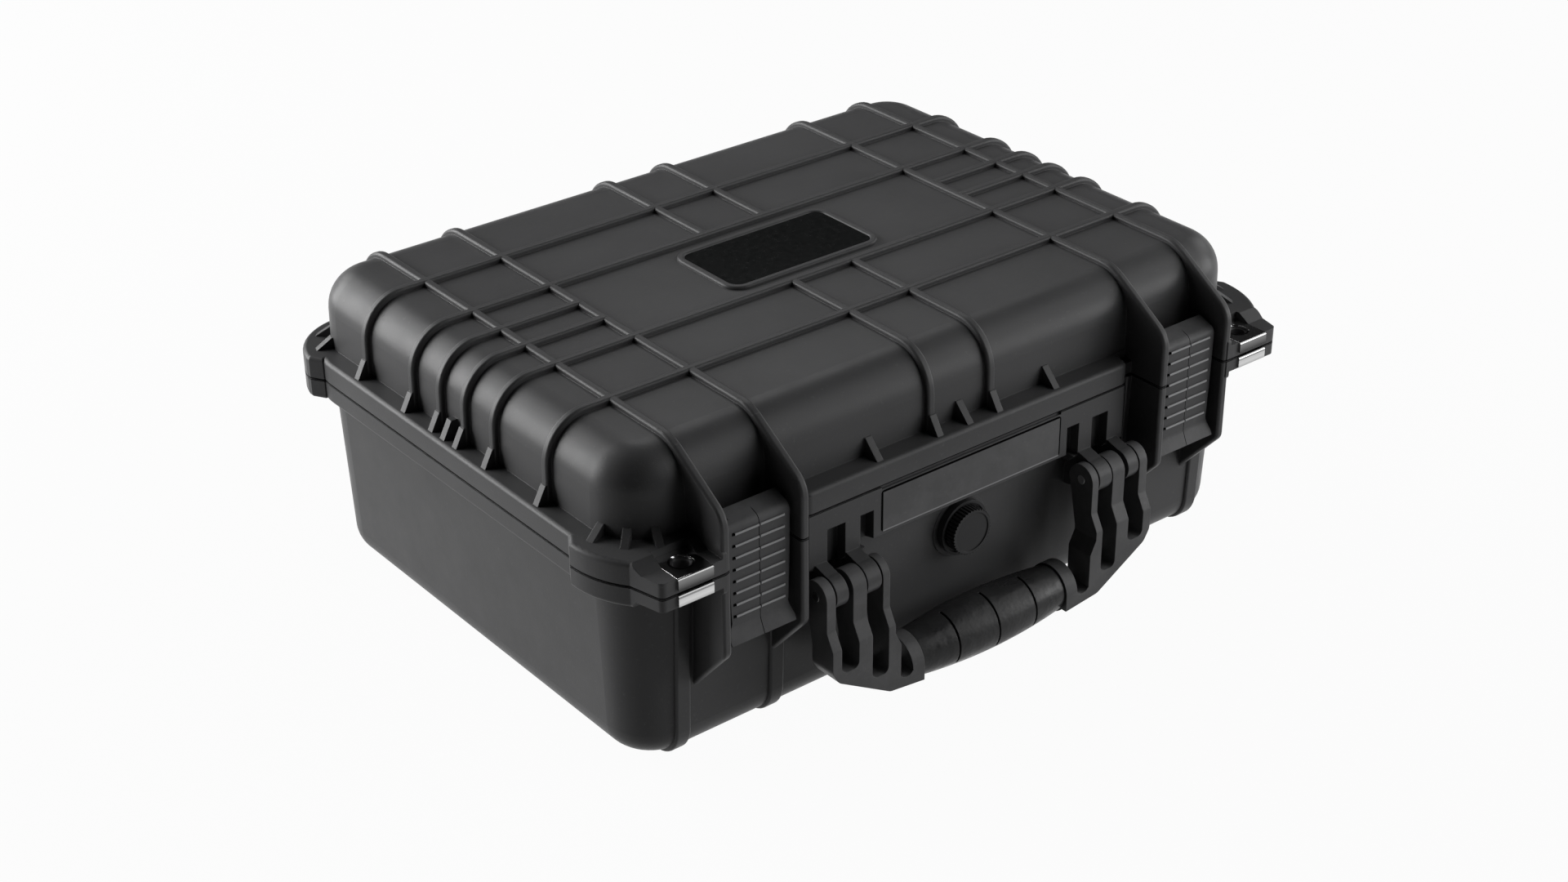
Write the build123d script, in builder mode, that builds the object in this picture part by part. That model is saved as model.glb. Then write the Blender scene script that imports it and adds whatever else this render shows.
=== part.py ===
from build123d import *
import math
import os

# A moulded hard case for a laptop: a deep base and a domed, ribbed lid on two rear
# hinges, two over-centre latches between guard fins, a folding handle and a purge valve.
# Millimetres, +Z up, front towards -Y. The origin is the centre of the flat pad under
# the base, on the surface that the case stands on.

os.makedirs("parts", exist_ok=True)

# ---------------------------------------------------------------- overall case
case_height = 172.0
parting_z = 116.2
parting_gap = 0.8
wall = 3.5

# ---------------------------------------------------------------- base tub
base_x = 204.3
base_front = 147.8
base_rear_step = 4.8
base_rear = base_front - base_rear_step
base_corner = 30.0
base_edge = 17.0
base_draft = 2.2
latch_bay_width = 46.6
latch_bay_setback = 38.3
rib_x_outer = base_x - latch_bay_setback
rib_x_middle = rib_x_outer - latch_bay_width
foot_height = 1.6
foot_round = 1.4
foot_width = 9.0
foot_spacing = 57.0
foot_outer_x = rib_x_outer + foot_width
foot_inner_x = foot_outer_x - foot_spacing
foot_pad_x = 46.0
foot_pad_y = 30.0
foot_pad_corner = 5.0

# ---------------------------------------------------------------- lid dome
dome_side_setback = 1.1
dome_front_setback = 4.2
dome_x = base_x - dome_side_setback
dome_y = base_front - dome_front_setback
dome_corner = 28.0
dome_edge = 21.0
draft = 1.5
rib_height = 3.0
rib_width = 4.8
rib_round = 1.5
rib_step = 0.25
rib_x_inner = 19.9
rib_y_inner = 11.1
rib_y_middle = 37.0
rib_y_outer = 82.3

# ---------------------------------------------------------------- rim flanges
flange_side = 9.5
flange_lip = 7.7
flange_rear_lip = 5.9
flange_x = base_x + flange_side
flange_front = base_front + flange_lip
flange_rear = dome_y + flange_rear_lip
flange_corner = 44.0
flange_up = 12.0
flange_down = 11.0
flange_round = 2.4
centre_flange_gap = 10.8
centre_flange_x = rib_x_middle - centre_flange_gap
bay_lip = 0.8
bay_front = base_front + bay_lip
bay_drop = 5.0
bay_round = 5.5

# ---------------------------------------------------------------- corner bosses
boss_side = 4.2
boss_slope = 7.0
boss_length = 42.5
boss_x = flange_x + boss_side
boss_start = flange_front - boss_length
boss_full = boss_start + boss_slope
ear_neck_side = 6.5
ear_neck_lap = 3.2
ear_reach = 18.7
ear_lean = 4.5
ear_neck_x = flange_x - ear_neck_side
ear_neck_y = flange_front - ear_neck_lap
ear_tip_x = ear_neck_x - ear_lean
ear_y = ear_neck_y + ear_reach
ear_height = 8.0
base_ear_height = 6.6
ear_slope = 7.0
base_ear_slope = 3.4
ear_tip_round = 3.2
boss_side_run = 3.0
boss_side_bow = 2.0
rear_boss_lip = 3.0
rear_boss_length = 32.0
rear_boss_y = flange_rear + rear_boss_lip
rear_boss_x = boss_x - rear_boss_length
rear_boss_r = 38.0
rear_boss_lap = 7.0
gusset_width = 4.0
gusset_height = 9.5
gusset_setback = 2.6
front_wall_angle = 90.0
corner_gusset_angles = (15.4, 43.3, 70.0)
corner_gusset_reach = 8.5
corner_gusset_height = 6.0
front_gusset_x = 58.8

# ---------------------------------------------------------------- seal
seal_front = 0.4
seal_side = 1.4
seal_y = dome_y + seal_front
seal_x = dome_x + seal_side
seal_corner = 34.0
groove_width = 4.2
groove_depth = 5.0
seal_thickness = 2.4
seal_side_gap = 0.2
tongue_width = 2.2
soft_gap = 0.4

# ---------------------------------------------------------------- latch guards
guard_width = 4.8
guard_reach = 15.0
guard_y = flange_front + guard_reach
guard_bend_r = 14.0
guard_slope = 0.64
guard_bottom_z = 70.0
guard_root_z = 44.0
guard_corner = 6.5
guard_round = 1.6

# ---------------------------------------------------------------- latches
latch_width = 36.2
latch_lip_width = 38.4
latch_sunk = 5.5
latch_face_y = guard_y - latch_sunk
latch_skin = 2.6
latch_top_round = 4.2
latch_bend_r = 5.2
latch_top_z = 135.0
latch_depth = 11.0
latch_back_y = latch_face_y - latch_depth
latch_back_z = 139.0
latch_lip_z = 80.0
latch_lip_out = 3.3
latch_lip_y = latch_face_y + latch_lip_out
latch_bottom_z = 72.4
latch_cheek = 2.6
latch_waist = 1.4
latch_bow = 0.9
latch_line_count = 8
latch_line_pitch = 6.38
latch_line_top_z = 131.0
latch_line_width = 29.0
latch_line_height = 1.1
latch_line_proud = 0.8
pivot_setback = 6.5
pivot_y = latch_face_y - pivot_setback
pivot_z = 126.5
pivot_r = 2.0
pivot_boss_r = 5.2
pivot_clearance = 0.06
pivot_engagement = 3.8
claw_pin_setback = 5.7
claw_pin_y = latch_face_y - claw_pin_setback
claw_pin_z = 130.8
claw_pin_r = 1.5
claw_eye_r = 2.6
claw_width = 24.0
claw_setback = 5.2
claw_back_y = latch_face_y - claw_setback
claw_thickness = 2.2
claw_hook_height = 4.5
claw_hook_gap = 0.4
claw_window_width = 12.0
claw_window_height = 18.0
claw_window_corner = 3.0
catch_setback = 2.6
catch_front_y = claw_back_y - catch_setback
catch_low_z = 95.0
catch_height = 6.0
catch_gap = 0.35

# ---------------------------------------------------------------- padlock ears and plates
lock_side = 29.4
lock_hole_setback = 10.5
lock_x = flange_x - lock_side
lock_hole_y = ear_y - lock_hole_setback
lock_hole_r = 4.0
lock_plate_width = 20.0
lock_plate_depth = 21.0
lock_plate_thickness = 1.2
lock_lip_height = 5.8
lock_plate_hole_r = 5.2

# ---------------------------------------------------------------- rear hinges
hinge_reach = 9.0
hinge_setback = 7.4
hinge_y = flange_rear + hinge_reach
hinge_z = parting_z
hinge_x = rib_x_middle - hinge_setback
hinge_knuckle_r = 6.0
hinge_knuckle_length = 18.0
hinge_knuckle_count = 5
hinge_knuckle_gap = 0.5
hinge_pin_r = 2.5
hinge_pin_clearance = 0.06
hinge_arm_height = 9.0

# ---------------------------------------------------------------- handle
handle_reach = 16.0
handle_axis_y = base_front + handle_reach
handle_axis_z = 76.5
barrel_r = 8.6
handle_side_width = 5.5
handle_side_gap = 5.8
handle_side_x = centre_flange_x - handle_side_gap
knuckle_b_width = 7.2
knuckle_b_gap = 1.0
knuckle_b_x = handle_side_x - knuckle_b_gap - knuckle_b_width
handle_web_width = 8.5
handle_web_gap = 2.8
handle_web_x = knuckle_b_x - handle_web_gap - handle_web_width
knuckle_a_width = 8.6
knuckle_a_gap = 0.8
knuckle_a_x = handle_web_x - knuckle_a_gap - knuckle_a_width
handle_ear_width = 4.3
handle_ear_gap = 1.0
handle_ear_x = knuckle_a_x - handle_ear_gap - handle_ear_width
handle_pin_r = 2.5
handle_pin_clearance = 0.06
handle_bulge = 13.4
handle_front_y = handle_axis_y + handle_bulge
handle_arm_depth = 16.0
handle_arm_back_z = 64.0
handle_waist = 5.8
handle_arm_back_y = handle_axis_y - handle_waist
handle_back_step = 2.0
handle_kink_top_z = 59.5
handle_kink_low_z = 50.5
handle_foot_z = 10.2
handle_outer_low_z = 38.5
handle_neck = 19.6
handle_inner_x = handle_ear_x - handle_neck
slot_a_low_z = 36.4
slot_b_low_z = 25.0
slot_c_low_z = 17.2
slot_round = 3.5
slot_c_offset = 7.6
slot_c_width = 8.2
slot_c_in_x = handle_inner_x + slot_c_offset
slot_c_out_x = slot_c_in_x + slot_c_width
arm_turn_in = 3.8
arm_toe_run = 33.0
arm_turn_x = handle_side_x + handle_side_width - arm_turn_in
arm_turn_z = 32.0
arm_toe_x = arm_turn_x - arm_toe_run
arm_toe_z = 12.8
arm_neck_low_z = 38.0
arm_neck_top_z = 46.0
arm_bend_r = 6.0
arm_kink_r = 3.0
end_disc_r = 13.4
grip_r = 12.5
grip_bulge = 3.3
grip_core_r = 8.5
grip_axis_z = 18.9
grip_end_gap = 0.6
grip_groove_width = 1.3
grip_groove_depth = 1.0
grip_groove_pitch = 26.4
grip_groove_low = -35.0
grip_groove_high = 95.0

# ---------------------------------------------------------------- handle mount and nameplate
mount_side_gap = 3.1
mount_outer_x = centre_flange_x - mount_side_gap
mount_low_z = 84.0
mount_front_y = flange_front
mount_chamfer = 1.6
pocket_floor = 1.6
pocket_gap = 0.4
pocket_a_x = knuckle_a_x + knuckle_a_width + pocket_gap
pocket_a_width = knuckle_b_x - pocket_gap - pocket_a_x
pocket_b_lap = 3.6
pocket_b_x = handle_ear_x - pocket_b_lap
pocket_b_width = 8.5
pocket_b_low_z = 86.0
pocket_top_z = 104.7
plate_half_x = 60.0
plate_low_z = 90.5
plate_top_z = 113.6
plate_thickness = 1.2
plate_frame = 1.7
plate_proud = 0.3
plate_notch = 1.4

# ---------------------------------------------------------------- lid label
label_x = 50.5
label_y = 28.0
label_corner = 10.0
label_round = 1.4
label_border = 4.0
label_border_height = 1.9
label_thickness = 1.0

# ---------------------------------------------------------------- purge valve
valve_z = 67.8
valve_bore_r = 6.0
valve_collar_r = 15.2
valve_seat_r = 17.5
valve_seat_sunk = 1.2
valve_seat_y = base_front - valve_seat_sunk
valve_collar_depth = 4.2
valve_collar_y = valve_seat_y + valve_collar_depth
valve_recess_depth = 1.2
valve_recess_y = valve_collar_y - valve_recess_depth
valve_knob_r = 12.6
valve_knob_gap = 0.5
valve_knob_depth = 6.4
valve_knob_back_y = valve_recess_y + valve_knob_gap
valve_knob_y = valve_knob_back_y + valve_knob_depth
valve_recess_r = 13.6
valve_nut_r = 11.0
valve_nut_sides = 6
valve_nut_thickness = 5.0
valve_nut_proud = 1.0
valve_bore_clearance = 0.1
valve_stem_r = 4.0
valve_knurls = 40
valve_knurl_r = 0.55
valve_stem_clearance = 0.06
valve_pad_depth = 6.0
valve_pad_y = base_front - valve_pad_depth
valve_pad_r = 13.0
valve_ring_r = 8.7
valve_ring_wire_r = 0.85
valve_dish = 0.5
valve_rim = 1.8

# ---------------------------------------------------------------- foam
foam_side_gap = 0.5
foam_room_gap = 1.6
foam_tray_top_z = 115.2
laptop_x = 364.0
laptop_y = 250.0
laptop_depth = 52.0
laptop_corner = 3.0
thumb_r = 16.0
thumb_depth = 30.0
lid_foam_low_z = 117.4

# ---------------------------------------------------------------- derived levels
near = 0.5
lid_rim_z = parting_z + parting_gap / 2
base_rim_z = parting_z - parting_gap / 2
dome_top_z = case_height - rib_height
flange_top_z = lid_rim_z + flange_up
flange_low_z = base_rim_z - flange_down
tub_low_z = foot_height
latch_x = (rib_x_middle + rib_x_outer) / 2
guard_inner_y = base_front - wall / 2


# ---------------------------------------------------------------- shared outlines
def rounded_tub(plane, half_x, front, rear, corner, height, lean, edge):
    """A tapered block with round corners, closed end rounded, growing along the plane's normal."""
    middle = (rear - front) / 2
    with BuildPart() as tub:
        with BuildSketch(plane):
            with Locations((0, middle * plane.y_dir.Y)):
                RectangleRounded(2 * half_x, front + rear, corner)
        extrude(amount=height, taper=lean)
        far_face = tub.faces().sort_by(Axis.Z)[-1 if plane.z_dir.Z > 0 else 0]
        fillet(far_face.edges(), edge)
    return tub.part


def section_rib(plane, low_half, high_half, root, crest, lean, edge, width, crest_round):
    """A slab across the whole case, whose outline follows the shell with round shoulders."""
    shift = math.tan(math.radians(lean)) * abs(crest - root)
    with BuildPart() as rib:
        with BuildSketch(plane) as outline:
            with BuildLine():
                Polyline(
                    (-low_half, root),
                    (-low_half + shift, crest),
                    (high_half - shift, crest),
                    (high_half, root),
                    close=True,
                )
            make_face()
            shoulder = outline.vertices().sort_by_distance((0, crest))[:2]
            fillet(shoulder, edge)
        extrude(amount=width / 2, both=True)
        across = Axis.Y if abs(plane.z_dir.Y) > near else Axis.X
        rim = rib.edges().filter_by(across, reverse=True)
        fillet(rim.filter_by(lambda e: abs(e.center().Z - root) > near), crest_round)
    return rib.part


def crest_arc():
    """Centre and radius of the rib's shoulder arc, seen from the side."""
    radius = dome_edge + rib_height
    lean = math.radians(draft)
    top_half = dome_y + rib_height - math.tan(lean) * (case_height - lid_rim_z)
    tangent = radius / math.tan((math.pi / 2 + lean) / 2)
    return top_half - tangent, case_height - radius, radius


def mirrored(shape):
    """The same shape on the other side of the case."""
    return mirror(shape, about=Plane.YZ, mode=Mode.PRIVATE)


def both_sides(shape):
    return [shape, mirrored(shape)]


def slab_x(x_low, x_high, points, round_off=None):
    """A block between two X planes with a side-view outline of (Y, Z) points."""
    with BuildPart() as slab:
        with BuildSketch(Plane.YZ.offset(x_low)) as outline:
            with BuildLine():
                Polyline(*points, close=True)
            make_face()
            for point, radius in round_off or []:
                fillet(outline.vertices().sort_by_distance(point)[0], radius)
        extrude(amount=x_high - x_low)
    return slab.part


def rod_x(x_low, x_high, y, z, radius):
    """A round bar along X."""
    with BuildPart() as rod:
        with BuildSketch(Plane.YZ.offset(x_low)):
            with Locations((y, z)):
                Circle(radius)
        extrude(amount=x_high - x_low)
    return rod.part


# ---------------------------------------------------------------- rim outline
def corner_ear():
    """Front left corner, seen from above: a rounded boss that ends in the padlock ear."""
    with BuildSketch() as ear:
        with BuildLine():
            Polyline(
                (-ear_neck_x, -ear_neck_y),
                (-ear_tip_x, -ear_y),
                (-rib_x_outer, -ear_y),
                (-rib_x_outer, -boss_start),
                (-flange_x, -boss_start),
                (-boss_x, -boss_full),
            )
            ThreePointArc(
                (-boss_x, -boss_full),
                (-boss_x + boss_side_run, -(boss_full + ear_neck_y) / 2 - boss_side_bow),
                (-ear_neck_x, -ear_neck_y),
            )
        make_face()
        fillet(ear.vertices().sort_by_distance((-ear_tip_x, -ear_y))[0], ear_tip_round)
    return ear.sketch


def corner_boss():
    """Rear left corner, seen from above."""
    with BuildSketch() as boss:
        with BuildLine():
            Polyline(
                (-rear_boss_x, rear_boss_y),
                (-rear_boss_x + rear_boss_lap, flange_rear - rear_boss_lap),
                (-rear_boss_x + rear_boss_lap, boss_start),
                (-flange_x, boss_start),
                (-boss_x, boss_full),
                (-boss_x, boss_full + boss_side_run),
            )
            RadiusArc(
                (-boss_x, boss_full + boss_side_run),
                (-rear_boss_x, rear_boss_y),
                rear_boss_r,
            )
        make_face()
    return boss.sketch


def rim_plan():
    """Outline of the mating rim: narrow at the rear, stepped back behind the latches."""
    bay_width = rib_x_outer - centre_flange_x
    bay_depth = flange_front - bay_front
    with BuildSketch() as plan:
        with Locations((0, (flange_rear - flange_front) / 2)):
            RectangleRounded(2 * flange_x, flange_front + flange_rear, flange_corner)
        for side in (-1, 1):
            with Locations((side * (centre_flange_x + bay_width / 2), -flange_front)):
                Rectangle(bay_width, 2 * bay_depth, mode=Mode.SUBTRACT)
            nose = plan.vertices().sort_by_distance((side * centre_flange_x, -flange_front))
            fillet(nose[0], bay_round)
    return plan.sketch


def rounded_slab(outline, low_z, height, round_up):
    """A plan outline as a solid, with its edge rounded on the side away from the parting."""
    with BuildPart() as slab:
        with BuildSketch(Plane.XY.offset(low_z)):
            add(outline)
        extrude(amount=height)
        face = slab.faces().filter_by(Axis.Z).sort_by(Axis.Z)[-1 if round_up else 0]
        fillet(face.edges(), flange_round)
    return slab.part


def rim_solids(low_z, height, round_up):
    """The rim, its two rear corner bosses and its two front ears, as overlapping solids."""
    ear = rounded_slab(corner_ear(), low_z, height, round_up)
    boss = rounded_slab(corner_boss(), low_z, height, round_up)
    rim = rounded_slab(rim_plan(), low_z, height, round_up)
    return [rim, *both_sides(ear), *both_sides(boss)]


# ---------------------------------------------------------------- lid features
def lid_ribs():
    """Raised ribs on the lid: four across, four short across, four and four fore and aft."""
    across = dict(root=lid_rim_z, crest=case_height, lean=draft, edge=dome_edge + rib_height)
    across.update(width=rib_width, crest_round=rib_round)
    along = dict(across, crest=case_height - rib_step)
    reach_x = dome_x + rib_height
    reach_y = dome_y + rib_height
    ribs = []
    for side in (-1, 1):
        for y in (rib_y_middle, rib_y_outer):
            ribs.append(section_rib(Plane.XZ.offset(side * y), reach_x, reach_x, **across))
        for x in (rib_x_middle, rib_x_outer):
            ribs.append(section_rib(Plane.YZ.offset(side * x), reach_y, reach_y, **along))
        short = section_rib(Plane.XZ.offset(side * rib_y_inner), reach_x, reach_x, **across)
        ribs += both_sides(kept_beyond(short, Plane.YZ.offset(rib_x_middle)))
        centre = section_rib(Plane.YZ.offset(side * rib_x_inner), reach_y, reach_y, **along)
        ribs.append(kept_beyond(centre, Plane.XZ.offset(rib_y_middle)))
        ribs.append(kept_beyond(centre, Plane.XZ.offset(-rib_y_middle), Keep.BOTTOM))
    return ribs


def kept_beyond(rib, plane, keep=Keep.TOP):
    """The part of a rib on one side of a plane."""
    with BuildPart() as piece:
        add(rib)
        split(bisect_by=plane, keep=keep)
    return piece.part


def gusset(x, y, inward, run, height=gusset_height):
    """A triangular web that stands on the rim and leans on the dome's wall."""
    heading = math.radians(inward)
    foot = Plane(
        origin=(x, y, flange_top_z),
        x_dir=(math.cos(heading), math.sin(heading), 0),
        z_dir=(math.sin(heading), -math.cos(heading), 0),
    )
    with BuildPart() as web:
        with BuildSketch(foot):
            with BuildLine():
                Polyline(
                    (0, -flange_round),
                    (0, 0),
                    (run, height),
                    (run + wall, height),
                    (run + wall, -flange_round),
                    close=True,
                )
            make_face()
        extrude(amount=gusset_width / 2, both=True)
    return web.part


def lid_gussets():
    """Webs round the lid: at each rib's foot, between ribs and round the corners."""
    end_foot = flange_x - gusset_setback
    end_run = end_foot - dome_x - rib_height
    front_foot = flange_front - gusset_setback
    front_run = front_foot - dome_y - rib_height
    webs = []
    for y in (0, rib_y_inner, rib_y_middle, rib_y_outer):
        for y_side in {y, -y}:
            webs += both_sides(gusset(-end_foot, y_side, 0, end_run))
    webs.append(gusset(0, -front_foot, front_wall_angle, front_run + rib_height))
    webs += both_sides(gusset(rib_x_inner, -front_foot, front_wall_angle, front_run))
    between = gusset(front_gusset_x, -front_foot, front_wall_angle, front_run + rib_height)
    webs += both_sides(between)
    centre_x = dome_x - dome_corner
    centre_y = dome_y - dome_corner
    radius = dome_corner + corner_gusset_reach
    for angle in corner_gusset_angles:
        turn = math.radians(angle)
        for y_side in (-1, 1):
            x = -centre_x - radius * math.cos(turn)
            y = y_side * (centre_y + radius * math.sin(turn))
            web = gusset(x, y, -y_side * angle, corner_gusset_reach, corner_gusset_height)
            webs += both_sides(web)
    return webs


def guard(x, points, bends, keep_square_z):
    """A fin beside a latch, with a rounded front edge."""
    with BuildPart() as fin:
        add(slab_x(x - guard_width / 2, x + guard_width / 2, points, bends))
        rim = fin.edges().filter_by(Axis.X, reverse=True)
        outer = rim.filter_by(lambda e: e.center().Y < -guard_inner_y)
        fillet(outer.filter_by(lambda e: abs(e.center().Z - keep_square_z) > near), guard_round)
    return fin.part


def lid_guards():
    """Fins on the lid: each runs off a rib's shoulder down to the parting."""
    centre_y, centre_z, radius = crest_arc()
    lean = math.atan(guard_slope)
    top_y = centre_y + radius * math.sin(lean)
    top_z = centre_z + radius * math.cos(lean)
    bend_z = top_z - guard_slope * (guard_y - top_y)
    inner_y = dome_y - dome_edge
    points = [
        (-guard_y, lid_rim_z),
        (-guard_y, bend_z),
        (-top_y, top_z),
        (-inner_y, top_z - dome_edge / 2),
        (-inner_y, lid_rim_z),
    ]
    bends = [((-guard_y, bend_z), guard_bend_r)]
    return [
        guard(side * x, points, bends, lid_rim_z)
        for x in (rib_x_middle, rib_x_outer)
        for side in (-1, 1)
    ]


def base_guards():
    """Fins on the base: each runs from the parting down and back into the tub."""
    inner_y = base_front - wall * 2
    points = [
        (-guard_y, base_rim_z),
        (-guard_y, guard_bottom_z),
        (-inner_y, guard_root_z - (base_front - inner_y)),
        (-inner_y, base_rim_z),
    ]
    bends = [((-guard_y, guard_bottom_z), guard_corner)]
    return [
        guard(side * x, points, bends, base_rim_z)
        for x in (rib_x_middle, rib_x_outer)
        for side in (-1, 1)
    ]


def seal_loop(width, low_z, height):
    """A band that follows the seal line round the case."""
    with BuildPart() as loop:
        with BuildSketch(Plane.XY.offset(low_z)):
            RectangleRounded(2 * seal_x + width, 2 * seal_y + width, seal_corner + width / 2)
            inner = (2 * seal_x - width, 2 * seal_y - width, seal_corner - width / 2)
            RectangleRounded(*inner, mode=Mode.SUBTRACT)
        extrude(amount=height)
    return loop.part


# ---------------------------------------------------------------- rear hinges
def knuckle_spans(on_base):
    """X range of each knuckle of the right-hand hinge that belongs to one half."""
    start = hinge_x - hinge_knuckle_count * hinge_knuckle_length / 2
    spans = []
    for index in range(0 if on_base else 1, hinge_knuckle_count, 2):
        low = start + index * hinge_knuckle_length + hinge_knuckle_gap / 2
        spans.append((low, low + hinge_knuckle_length - hinge_knuckle_gap))
    return spans


def hinge_arms(on_base):
    """Knuckles and the webs that carry them from the rim, for both hinges."""
    root_y = flange_rear - wall
    rim_z = base_rim_z if on_base else lid_rim_z
    depth = flange_down if on_base else hinge_arm_height
    far_z = rim_z - depth if on_base else rim_z + depth
    touch_z = hinge_z - hinge_knuckle_r if on_base else hinge_z + hinge_knuckle_r
    points = [(root_y, rim_z), (hinge_y, rim_z), (hinge_y, touch_z), (root_y, far_z)]
    arms = []
    for low, high in knuckle_spans(on_base):
        with BuildPart() as arm:
            add(slab_x(low, high, points))
            add(rod_x(low, high, hinge_y, hinge_z, hinge_knuckle_r))
        arms += both_sides(arm.part)
    return arms


def hinge_bores(clearance):
    """The pin's bore through both hinges: the pin is tight in the base and turns in the lid."""
    length = hinge_knuckle_count * hinge_knuckle_length / 2
    radius = hinge_pin_r + clearance
    return both_sides(rod_x(hinge_x - length, hinge_x + length, hinge_y, hinge_z, radius))


# ---------------------------------------------------------------- padlock plates
def lock_plate(top_z):
    """A bent steel plate: it lies on an ear and its lip covers the ear's front."""
    front = ear_y + lock_plate_thickness
    back = ear_y - lock_plate_depth
    points = [
        (-back, top_z),
        (-front, top_z),
        (-front, top_z - lock_lip_height),
        (-ear_y, top_z - lock_lip_height),
        (-ear_y, top_z - lock_plate_thickness),
        (-back, top_z - lock_plate_thickness),
    ]
    low = lock_x - lock_plate_width / 2
    bend = [((-front, top_z), lock_plate_thickness)]
    with BuildPart() as plate:
        add(slab_x(low, low + lock_plate_width, points, bend))
        with Locations((lock_x, -lock_hole_y, top_z)):
            Hole(lock_plate_hole_r)
    return plate.part


def ear_cuts(top_z):
    """Seats for the two padlock plates and the shackle holes through the ears."""
    floor_z = top_z - lock_plate_thickness
    height = flange_up + flange_down
    with BuildPart() as cuts:
        with BuildSketch(Plane.XY.offset(floor_z)):
            with Locations((lock_x, -ear_y)):
                Rectangle(lock_plate_width, 2 * lock_plate_depth)
        extrude(amount=height)
        with BuildSketch(Plane.XY.offset(floor_z - height)):
            with Locations((lock_x, -lock_hole_y)):
                Circle(lock_hole_r)
        extrude(amount=2 * height)
    return both_sides(cuts.part)


def ear_slopes(rim_z, ear_z, run):
    """What is cut off the far side of the ears, so that they are thinner towards the front."""
    past_z = rim_z + (wall if rim_z > parting_z else -wall)
    points = [
        (-ear_neck_y, rim_z),
        (-ear_neck_y - run, ear_z),
        (-ear_y - wall, ear_z),
        (-ear_y - wall, past_z),
        (-ear_neck_y, past_z),
    ]
    return both_sides(slab_x(rib_x_outer + guard_width / 2, boss_x + wall, points))


# ---------------------------------------------------------------- front of the base
def handle_mounts():
    """Blocks under the rim, the two knuckles of each handle joint and the name panel's bed."""
    root_y = base_front - wall * 2
    block = [
        (-root_y, base_rim_z),
        (-mount_front_y, base_rim_z),
        (-mount_front_y, mount_low_z + mount_chamfer),
        (-mount_front_y + mount_chamfer * 2, mount_low_z - mount_chamfer),
        (-root_y, mount_low_z - mount_chamfer * 2),
    ]
    web = [
        (-root_y, handle_axis_z - barrel_r - wall),
        (-root_y, mount_low_z + wall),
        (-mount_front_y, mount_low_z + wall),
        (-handle_axis_y, handle_axis_z + barrel_r),
        (-handle_axis_y, handle_axis_z - barrel_r),
    ]
    bed_x = knuckle_a_x
    bed = [
        (-root_y, base_rim_z),
        (-mount_front_y, base_rim_z),
        (-mount_front_y, plate_low_z - plate_frame),
        (-root_y, plate_low_z - plate_frame - wall),
    ]
    solids = [slab_x(-bed_x, bed_x, bed)]
    solids += both_sides(slab_x(bed_x - wall, mount_outer_x, block))
    for x, width in ((knuckle_a_x, knuckle_a_width), (knuckle_b_x, knuckle_b_width)):
        with BuildPart() as knuckle:
            add(slab_x(x, x + width, web))
            add(rod_x(x, x + width, -handle_axis_y, handle_axis_z, barrel_r))
        solids += both_sides(knuckle.part)
    return solids


def mount_pockets():
    """Clearance for the handle's prongs in the mount blocks, and the tight bore for its pin."""
    back_y = base_front + pocket_floor
    front_y = mount_front_y + wall
    open_z = handle_axis_z - barrel_r
    deep = [(-back_y, open_z), (-front_y, open_z), (-front_y, pocket_top_z), (-back_y, pocket_top_z)]
    shut = [(y, max(z, pocket_b_low_z)) for y, z in deep]
    cuts = both_sides(slab_x(pocket_a_x, pocket_a_x + pocket_a_width, deep))
    cuts += both_sides(slab_x(pocket_b_x, pocket_b_x + pocket_b_width, shut))
    low = knuckle_a_x - wall
    high = knuckle_b_x + knuckle_b_width + wall
    cuts += both_sides(rod_x(low, high, -handle_axis_y, handle_axis_z, handle_pin_r))
    return cuts


def name_panel(depth):
    """The blank name panel, standing a little proud of its bed's face."""
    face_y = mount_front_y + plate_proud
    height = plate_top_z - plate_low_z
    with BuildPart() as panel:
        with BuildSketch(Plane.XZ.offset(face_y - depth)):
            with Locations((0, plate_low_z + height / 2)):
                RectangleRounded(2 * plate_half_x, height, plate_frame)
        extrude(amount=depth)
    return panel.part


def latch_catches():
    """Ledges between the base guards; each latch's hook grips the underside of one."""
    points = [
        (-base_front + wall * 2, catch_low_z),
        (-catch_front_y, catch_low_z),
        (-catch_front_y, catch_low_z + catch_height),
        (-base_front + wall * 2, catch_low_z + catch_height + wall),
    ]
    return both_sides(slab_x(rib_x_middle, rib_x_outer, points))


def beads():
    """Runners that come down the base's walls and become the feet under it."""
    shape = dict(root=base_rim_z, crest=0, lean=base_draft, edge=base_edge + foot_height)
    shape.update(width=foot_width, crest_round=foot_round)
    shape.update(low_half=base_front + foot_height, high_half=base_rear + foot_height)
    return [
        section_rib(Plane.YZ.offset(side * x), **shape)
        for x in (foot_inner_x, foot_outer_x)
        for side in (-1, 1)
    ]


def base_cavity(gap=0.0):
    """The room inside the base, or what fits it with a gap all round."""
    inset = wall + gap
    floor_z = tub_low_z + wall
    return rounded_tub(
        Plane(origin=(0, 0, base_rim_z + parting_gap), x_dir=(1, 0, 0), z_dir=(0, 0, -1)),
        base_x - inset,
        base_front - inset,
        base_rear - inset,
        base_corner - inset,
        base_rim_z + parting_gap - floor_z,
        base_draft,
        base_edge - wall,
    )


def disc_y(y_near, y_far, radius, x=0.0, z=0.0):
    """A round disc along Y between two distances in front of the middle."""
    with BuildPart() as disc:
        with BuildSketch(Plane.XZ.offset(y_near)):
            with Locations((x, z)):
                Circle(radius)
        extrude(amount=y_far - y_near)
    return disc.part


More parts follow.
